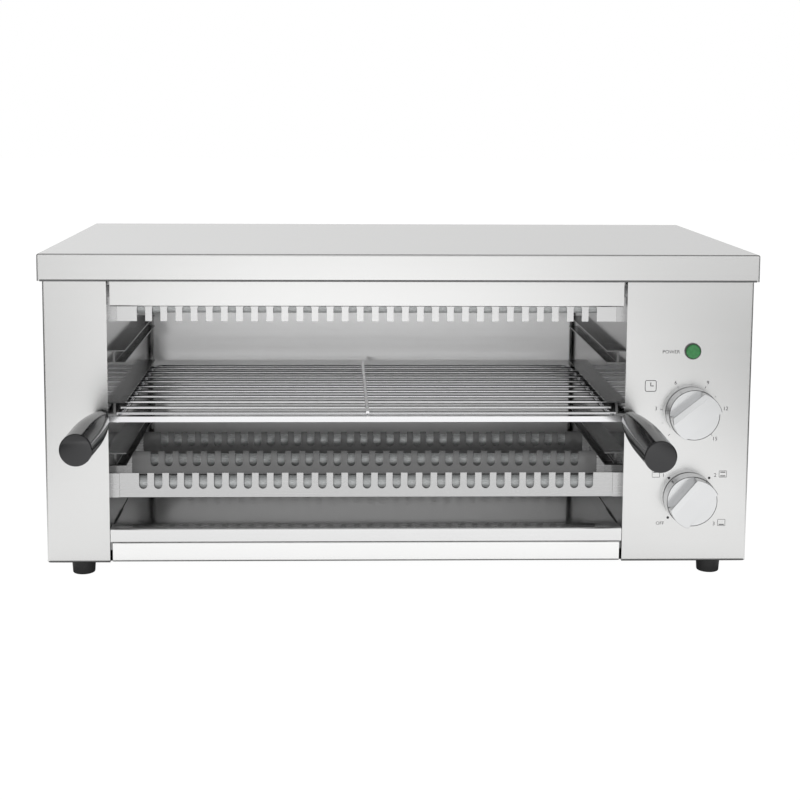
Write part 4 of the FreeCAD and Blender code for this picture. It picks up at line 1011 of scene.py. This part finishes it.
@dataclass
class PanelPrint:
    """Thin printed ink on the control panel: scales, figures and small pictograms.

    Places are (x, z) in the panel's front. Angles are in degrees, from the right and up.
    """

    timer: Pair = (0.2501, 0.1428)
    minutes: tuple[str, ...] = ("0", "3", "6", "9", "12", "15")
    first_minute: float = 225.0
    minute_step: float = 54.0
    tick_start: float = 24.9 * MM
    tick_end: float = 26.9 * MM
    half_tick_end: float = 26.2 * MM
    minute_ring: float = 30.6 * MM
    clock: Pair = (0.2148, 0.1672)
    clock_side: float = 9.4 * MM
    clock_corner: float = 1.6 * MM
    clock_line: float = 0.55 * MM
    clock_hands: Pair = (2.6 * MM, 3.0 * MM)
    selector: Pair = (0.2501, 0.0692)
    dots: tuple[float, ...] = (-135.0, 135.0, 45.0, -45.0)
    dot_ring: float = 24.7 * MM
    dot_radius: float = 1.15 * MM
    dot_segments: int = 32
    off: Pair = (0.2259, 0.0468)
    heats: tuple[HeatMark, ...] = (HeatMark("1", (0.2279, 0.0892), True, False),
                                   HeatMark("2", (0.2727, 0.0892), True, True),
                                   HeatMark("3", (0.2727, 0.0463), False, True))
    icon_offset: Pair = (6.6 * MM, 0.9 * MM)
    icon_size: Pair = (6.4 * MM, 5.6 * MM)
    icon_corner: float = 0.5 * MM
    icon_line: float = 0.36 * MM
    bar_half: float = 2.2 * MM
    bar_heights: Pair = (2.5 * MM, -0.8 * MM)
    lamp_word_place: Pair = (0.2318, 0.1968)
    lamp_word_stretch: float = 1.05
    thickness: float = 0.05 * MM
    line: float = 0.42 * MM
    thin_share: float = 0.8
    bold_line: float = 0.8 * MM
    figure_size: float = 4.6 * MM
    word_size: float = 4.1 * MM
    curve_steps: int = 4

    def stroke(self, skin: Skin, points: Sequence[Sequence[float]], width: float,
               closed: bool = False) -> None:
        """Adds a line of ink: a flat band of the ink's thickness along points in the panel.

        Args:
            skin: gathers the ink.
            points: (x, z) along the line.
            width: width of the line.
            closed: whether the line is a loop.
        """
        points = np.asarray(points, float)
        if closed:
            after, before = np.roll(points, -1, axis=0), np.roll(points, 1, axis=0)
        else:
            after = np.concatenate((points[1:], 2 * points[-1:] - points[-2:-1]))
            before = np.concatenate((2 * points[:1] - points[1:2], points[:-1]))
        direction = after - before
        direction /= np.linalg.norm(direction, axis=1, keepdims=True)
        across = np.stack((-direction[:, 1], direction[:, 0]), axis=1) * width / 2
        left, right = points + across, points - across
        back, front = FRONT_Y, FRONT_Y - self.thickness
        rails = [(left, back), (left, front), (right, front), (right, back)]
        ring = np.stack([np.stack((rail[:, 0], np.full(len(rail), y), rail[:, 1]), axis=1)
                         for rail, y in rails], axis=1)
        skin.grid(ring, wrap_rows=closed, wrap_columns=True, caps=() if closed else BOTH_ENDS)

    def spoke(self, skin: Skin, angle: float, end: float, width: float) -> None:
        """Adds a short radial tick of the timer's scale, out to the radius of its end."""
        self.stroke(skin, [around(self.timer, angle, self.tick_start),
                           around(self.timer, angle, end)], width)

    def words(self, skin: Skin, text: str, place: Sequence[float], size: float,
              stretch: float = 1.0) -> None:
        """Adds words or figures centred on a point.

        Args:
            skin: gathers the ink.
            text: the words.
            place: middle of the words.
            size: font size.
            stretch: width over usual width.
        """
        curve = bpy.data.curves.new("ink", "FONT")
        curve.body = text
        curve.size = size
        curve.extrude = self.thickness / 2
        curve.resolution_u = self.curve_steps
        holder = bpy.data.objects.new("ink", curve)
        bpy.context.scene.collection.objects.link(holder)
        bpy.context.view_layer.update()
        mesh = bpy.data.meshes.new_from_object(
            holder.evaluated_get(bpy.context.evaluated_depsgraph_get()))
        points = points_of(mesh)
        points[:, :2] -= (points[:, :2].min(0) + points[:, :2].max(0)) / 2
        placed = np.stack((place[0] + points[:, 0] * stretch,
                           FRONT_Y - self.thickness / 2 - points[:, 2],
                           place[1] + points[:, 1]), axis=1)
        skin.add(placed, [list(face.vertices) for face in mesh.polygons])
        bpy.data.objects.remove(holder)
        bpy.data.curves.remove(curve)
        bpy.data.meshes.remove(mesh)

    def frame_line(self, skin: Skin, centre: Pair, size: Pair, corner: float,
                   line: float) -> None:
        """Adds the outline of a rectangle with rounded corners.

        Args:
            skin: gathers the ink.
            centre: middle of the rectangle.
            size: its width and height.
            corner: how far from each corner the round starts.
            line: width of the line.
        """
        x, half_width, half_height = centre[0], size[0] / 2, size[1] / 2
        left, right = x - half_width, x + half_width
        low, high = centre[1] - half_height, centre[1] + half_height
        loop = rounded([(x, low), (right, low), (right, high), (left, high), (left, low), (x, low)],
                       [0, corner, corner, corner, corner, 0])
        self.stroke(skin, loop[:-1], line, closed=True)

    def timer_scale(self) -> Skin:
        """Minutes round the timer, its ticks, and a clock pictogram."""
        skin = Skin()
        for step, figure in enumerate(self.minutes):
            angle = self.first_minute - step * self.minute_step
            self.spoke(skin, angle, self.tick_end, self.line)
            self.words(skin, figure, around(self.timer, angle, self.minute_ring),
                       self.figure_size)
            if figure != self.minutes[-1]:
                self.spoke(skin, angle - self.minute_step / 2, self.half_tick_end,
                           self.line * self.thin_share)
        self.frame_line(skin, self.clock, (self.clock_side, self.clock_side), self.clock_corner,
                        self.clock_line)
        (x, z), (hour, minute) = self.clock, self.clock_hands
        self.stroke(skin, [(x, z + minute), (x, z), (x + hour, z)], self.bold_line)
        return skin

    def selector_scale(self) -> Skin:
        """OFF and the three heat positions, each with a pictogram of the part that heats."""
        skin = Skin()
        disc = np.array([(0.0, 0.0), (self.dot_radius, 0.0), (self.dot_radius, self.thickness),
                         (0.0, self.thickness)])
        for angle in self.dots:
            x, z = around(self.selector, angle, self.dot_ring)
            skin.grid(turned(disc, (x, FRONT_Y, z), (0, -1, 0), self.dot_segments),
                      wrap_columns=True)
        self.words(skin, "OFF", self.off, self.word_size)
        aside, above = self.icon_offset
        for heat in self.heats:
            x, z = heat.place
            self.words(skin, heat.figure, heat.place, self.figure_size)
            icon_x = x + math.copysign(aside, x - self.selector[0])
            self.frame_line(skin, (icon_x, z + above), self.icon_size, self.icon_corner,
                            self.icon_line)
            for shown, height in zip((heat.top, heat.bottom), self.bar_heights):
                if shown:
                    self.stroke(skin, [(icon_x - self.bar_half, z + height),
                                       (icon_x + self.bar_half, z + height)], self.bold_line)
        return skin

    def lamp_word(self) -> Skin:
        """The word beside the signal lamp."""
        skin = Skin()
        self.words(skin, "POWER", self.lamp_word_place, self.word_size, self.lamp_word_stretch)
        return skin

    def build(self, material: Material) -> None:
        """Makes all the prints.

        Args:
            material: the ink.
        """
        for name, skin in (("timer_scale_print", self.timer_scale()),
                           ("selector_scale_print", self.selector_scale()),
                           ("power_print", self.lamp_word())):
            skin.fit(name, material, Body.CASING, Slot.SWITCH_PLASTIC, smooth_angle=20.0)


# Painted shade: the beads are finished in very dark steel, standing for the shadow line along these
# edges.
@dataclass
class Hems:
    """Rolled beads that stiffen the lower edges of both columns and of the lid's front."""

    radius: float = 1.0 * MM
    inset: float = 0.6 * MM
    corner: float = 2.6 * MM
    corner_steps: int = 9
    sides: int = 16

    def bead(self, skin: Skin, plan: np.ndarray, height: float) -> None:
        """Adds a round bead along a level line.

        Args:
            skin: gathers the beads.
            plan: array of (x, y) along the line.
            height: height of the bead's middle.
        """
        path = np.column_stack((plan, np.full(len(plan), height)))
        skin.grid(swept(path, circle(self.radius, self.sides), (0.0, 0.0, 1.0)),
                  wrap_columns=True, caps=BOTH_ENDS)

    def build(self, material: Material) -> None:
        """Makes all the beads as one piece.

        Args:
            material: its finish.
        """
        left, left_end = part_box("left_side_cover")
        panel, panel_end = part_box("control_panel")
        side_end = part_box("right_side_cover")[1]
        lid, lid_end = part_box("top_cover")
        skin = Skin()
        inset = self.inset
        for start, outer, back in ((left_end.x, left.x + inset, left_end.y),
                                   (panel.x, panel_end.x - inset, side_end.y)):
            line = rounded([(start, panel.y + inset), (outer, panel.y + inset),
                            (outer, back - inset)], [0, self.corner, 0], self.corner_steps)
            self.bead(skin, line, panel.z + inset)
        front = lid.y + inset
        self.bead(skin, np.array([(lid.x + self.corner, front), (lid_end.x - self.corner, front)]),
                  lid.z + inset)
        skin.fit("rolled_hems_painted_shade", material, Body.CASING, Slot.SATIN_STEEL, smooth_angle=60.0)


@dataclass
class KnobRim:
    """Fine dark bead round the front edge of a knob's skirt, painted shade for its outline."""

    knob: str
    body: Body
    skirt_radius: float = 21.4 * MM
    skirt_length: float = 12.2 * MM
    bead: float = 0.28 * MM
    segments: int = 128
    sides: int = 12

    def build(self, material: Material) -> None:
        """Makes the bead, a ring whose section is a small circle.

        Args:
            material: its finish.
        """
        low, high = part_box(self.knob)
        section = circle(self.bead, self.sides) + (self.skirt_radius, self.skirt_length)
        skin = Skin()
        skin.grid(turned(section, ((low.x + high.x) / 2, high.y, (low.z + high.z) / 2),
                         (0.0, -1.0, 0.0), self.segments), wrap_rows=True, wrap_columns=True)
        skin.fit(f"{self.knob}_painted_shade_rim", material, self.body, Slot.KNOB_GREY, smooth_angle=60.0)


KNOB_RIMS = (KnobRim("timer_knob", Body.TIMER), KnobRim("selector_knob", Body.SELECTOR))


def points_of(mesh: bpy.types.Mesh) -> np.ndarray:
    """A mesh's points as an array of points × 3."""
    points = np.empty(len(mesh.vertices) * 3)
    mesh.vertices.foreach_get("co", points)
    return points.reshape(-1, 3)


@dataclass
class RearScrews:
    """Pan-headed screws with a cross recess that hold the back panel.

    The recess and the rings of the grid are shares of the head's radius.
    """

    head_radius: float = 3.4 * MM
    head_height: float = 1.7 * MM
    flat_share: float = 0.55
    shank_radius: float = 1.9 * MM
    slot_half: float = 0.17
    slot_reach: float = 0.62
    slot_wall: float = 0.02
    slot_depth: float = 1.0 * MM
    outer_rings: tuple[float, ...] = (0.75, 0.87, 0.96, 1.0)
    row_gap: float = 20.0 * MM
    first_turn: float = 0.35
    turn_by_height: float = 9.0

    def head(self) -> np.ndarray:
        """Top of a head on a square grid pressed into a disc.

        A point (u, v) of the square goes to x = u·√(1 − v²/2), y = v·√(1 − u²/2) of the disc. Its
        height is a low dome, less the recess where one of |u|, |v| is under the slot's half
        width and the other is under its reach.
        """
        wall = self.slot_wall
        line = np.array([0.0, self.slot_half - wall, self.slot_half, self.slot_reach - wall,
                         self.slot_reach, *self.outer_rings])
        line = np.concatenate((-line[:0:-1], line))
        u, v = np.meshgrid(line, line, indexing="ij")
        x = u * np.sqrt(1 - v ** 2 / 2)
        y = v * np.sqrt(1 - u ** 2 / 2)
        curve = np.sqrt(np.maximum(1 - x ** 2 - y ** 2, 0))
        dome = self.head_height * (self.flat_share + (1 - self.flat_share) * curve)
        across = np.minimum(np.abs(u), np.abs(v))
        along = np.maximum(np.abs(u), np.abs(v))
        hollow = (across < self.slot_half - wall / 2) & (along < self.slot_reach - wall / 2)
        height = dome - np.where(hollow, self.slot_depth, 0.0)
        return np.stack((x * self.head_radius, y * self.head_radius, height), axis=-1)

    def levels(self) -> list[float]:
        """Heights of the screws' axes, read from the plain ones on the left."""
        points = points_of(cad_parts["rear_screws"].data)
        z = np.sort(points[points[:, 0] < 0, 2])
        groups = np.split(z, np.flatnonzero(np.diff(z) > self.row_gap) + 1)
        return sorted({round(float((group[0] + group[-1]) / 2), 4) for group in groups})

    def build(self, material: Material) -> None:
        """Makes the screws as one piece in place of the plain ones.

        Args:
            material: its finish.
        """
        low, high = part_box("rear_screws")
        back = high.y - self.head_height
        top = self.head()
        rim = np.concatenate((top[0, :-1], top[:-1, -1], top[-1, :0:-1], top[:0:-1, 0]))
        foot = rim * (1, 1, 0)
        shank_top = foot * (self.shank_radius / self.head_radius)
        shank_end = shank_top - (0, 0, back - low.y)
        skirt = np.stack((rim, foot, shank_top, shank_end), axis=0)
        upright = Matrix(((1, 0, 0), (0, 0, 1), (0, -1, 0)))
        skin = Skin()
        for index, x in enumerate((low.x + self.head_radius, high.x - self.head_radius)):
            for z in self.levels():
                turn = self.first_turn + index + z * self.turn_by_height
                placed = np.array(upright @ Matrix.Rotation(turn, 3, "Z")).T
                skin.grid(top @ placed + (x, back, z))
                skin.grid(skirt @ placed + (x, back, z), wrap_columns=True, caps=(-1,))
        skin.fit("cross_rear_screws", material, Body.CASING, Slot.PLATED_STEEL,
                 replaced="rear_screws", smooth_angle=30.0)


Finish = Union[Steel, Moulding, Quartz, Lens, Sleeving]


@dataclass
class Dressing:
    """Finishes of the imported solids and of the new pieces."""

    satin: Steel = Steel("satin_steel_sheet", grain_depth=0.0001 * MM)
    sill: Steel = Steel("sill_steel_sheet", (0.84, 0.84, 0.835), grain_depth=0.0001 * MM)
    nickel: Steel = Steel("nickel_strip", (0.62, 0.60, 0.55), 0.33, grain_depth=0.0001 * MM)
    # Painted shade: the lining is darker towards the bottom, down to 45 % of its colour at 60 mm,
    # for the shade low on the back wall.
    lining: Steel = Steel(
        "lining_steel", grey(0.90), 0.32, 0.02, grain_pitch=1100.0, grain_tint=0.015,
        smudge_tint=0.02, wave_depth=0.05 * MM, wave_pitch=6.0, metallic=0.30, painted_shade=0.45,
        painted_shade_levels=(0.060, 0.076))
    ceiling: Steel = Steel(
        "ceiling_steel", grey(0.50), 0.32, 0.03, grain_pitch=1100.0, grain_tint=0.015,
        smudge_tint=0.02, wave_depth=0.05 * MM, wave_pitch=6.0)
    mirror: Steel = Steel(
        "mirror_steel_sheet", grey(0.36), 0.12, 0.03, grain_pitch=900.0, grain_tint=0.02,
        smudge_tint=0.03, wave_depth=0.05 * MM, wave_pitch=8.0)
    # Painted shade: the tray keeps half its colour behind its front lip, inside the cavity, and the
    # lip the whole colour.
    tray: Steel = Steel(
        "tray_steel", grey(0.69), 0.10, 0.03, grain_pitch=1000.0, grain_tint=0.02,
        smudge_tint=0.03, wave_depth=0.05 * MM, wave_pitch=7.0, metallic=0.90, painted_shade=0.50,
        painted_shade_axis=1, painted_shade_levels=(-0.084, -0.090))
    # Painted shade: the runners are much darker than the cavity walls' steel, standing for the
    # shade in their channels.
    runner: Steel = Steel("runner_painted_shade_steel", grey(0.17), 0.24, 0.04, grain_pitch=900.0)
    upper_guard: Steel = Steel("upper_guard_steel", grey(0.57), 0.24, 0.03, grain_pitch=900.0)
    guard: Steel = Steel("guard_steel", grey(0.47), 0.26, 0.04, grain_pitch=900.0,
                         metallic=0.85)
    # Painted shade: the middle and rear guards are the front guards' steel made much darker, for
    # the shade deeper in the cavity.
    painted_shade_inner_guard: Steel = Steel("inner_guard_steel", grey(0.17), 0.18, 0.04, grain_pitch=900.0,
                               metallic=0.6)
    # Painted shade: very dark steel for the hems and the knob rims, standing for dark lines along
    # these edges.
    painted_edge_shade: Steel = Steel("painted_edge_shade_steel", grey(0.15), 0.22, 0.03, grain_pitch=900.0)
    chrome: Steel = Steel("rack_wire_chrome", (0.67, 0.67, 0.68), 0.12, 0.02,
                          grain_pitch=600.0, grain_tint=0.02, smudge_tint=0.03)
    plated: Steel = Steel("plated_screw_steel", (0.62, 0.62, 0.60), 0.30, 0.06, 0.004 * MM,
                          2500.0, grain_tint=0.05, smudge_tint=0.04)
    coil: Steel = Steel("coil_wire_metal", (0.32, 0.29, 0.27), 0.45, 0.08, 0.004 * MM, 3000.0,
                        grain_tint=0.08, smudge_tint=0.05)
    handle: Moulding = Moulding("handle_black_moulding", (0.008, 0.008, 0.009), 0.09, 0.02,
                                0.0008 * MM, 500.0, tint=0.1, index=1.52)
    knob: Moulding = Moulding("knob_silver_grey", (0.65, 0.655, 0.66), 0.24, 0.02, 0.002 * MM,
                              2200.0, tint=0.03, metallic=0.98)
    ceramic: Moulding = Moulding("white_ceramic", (0.80, 0.78, 0.73), 0.62, 0.08, 0.03 * MM,
                                 700.0)
    switch: Moulding = Moulding("switch_plastic_dark", grey(0.055), 0.42)
    rubber: Moulding = Moulding("foot_black_rubber", grey(0.022), 0.55, 0.07, 0.03 * MM, 600.0)
    gland: Moulding = Moulding("gland_black_plastic", grey(0.03), 0.4, 0.06, 0.02 * MM)
    ink: Moulding = Moulding("panel_ink", (0.03, 0.03, 0.032), 0.5, 0.05, 0.004 * MM, 1500.0)

    def plan(self) -> dict[Finish, tuple[str, ...]]:
        """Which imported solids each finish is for, by the starts of their names."""
        return {
            self.satin: ("top_cover", "left_side_cover", "right_side_cover", "control_panel",
                         "front_fascia", "back_panel"),
            self.sill: ("base_pan",),
            self.mirror: ("left_cavity_wall", "right_cavity_wall", "tray_runner"),
            self.lining: ("back_reflector",),
            self.ceiling: ("ceiling_reflector",),
            self.tray: ("crumb_tray",),
            self.runner: ("rack_runner",),
            self.guard: ("tube_guard", "guard_brackets"),
            self.upper_guard: ("tube_guard_upper_front",),
            self.painted_shade_inner_guard: ("tube_guard_lower_middle", "tube_guard_lower_rear"),
            self.chrome: ("rack_front_bar", "rack_frame", "rack_cross_wires", "rack_spine"),
            self.plated: ("handle_studs", "control_screws", "foot_screws", "rear_screws",
                          "timer_shaft", "selector_shaft"),
            self.nickel: ("link_strips",),
            self.coil: ("heating_coils",),
            self.handle: ("handle_left", "handle_right"),
            self.knob: ("timer_knob", "selector_knob"),
            self.ceramic: ("ceramic_caps", "terminal_block"),
            self.switch: ("timer_body", "selector_body", "lamp_body"),
            self.rubber: ("feet",),
            self.gland: ("cable_gland",),
            Quartz(): ("quartz_tube",),
            Lens(): ("lamp_lens",),
            Sleeving(): ("inner_wires",),
            self.painted_edge_shade: (),
            self.ink: ()}

    def build(self) -> dict[Finish, Material]:
        """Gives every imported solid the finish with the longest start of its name.

        Returns:
            The materials by their finish.
        """
        plan = self.plan()
        made = {finish: finish.make() for finish in plan}
        by_start = {start: finish for finish, starts in plan.items() for start in starts}
        for name, solid in sorted(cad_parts.items()):
            start = max((key for key in by_start if name.startswith(key)), key=len)
            solid.data.materials.clear()
            solid.data.materials.append(made[by_start[start]])
        LOG.info("%d solids dressed in %d finishes", len(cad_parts), len(made))
        return made


def main() -> None:
    """Builds the studio, the finishes and the new pieces."""
    Studio().build()
    dressing = Dressing()
    made = dressing.build()
    for fittings, finish in ((HANDLES, dressing.handle), ((HeatingCoils(),), dressing.coil),
                             ((Feet(),), dressing.rubber), ((PanelPrint(),), dressing.ink),
                             ((RearScrews(),), dressing.plated),
                             ((Hems(), *KNOB_RIMS), dressing.painted_edge_shade)):
        for fitting in fittings:
            fitting.build(made[finish])


if __name__ == "__main__":
    main()
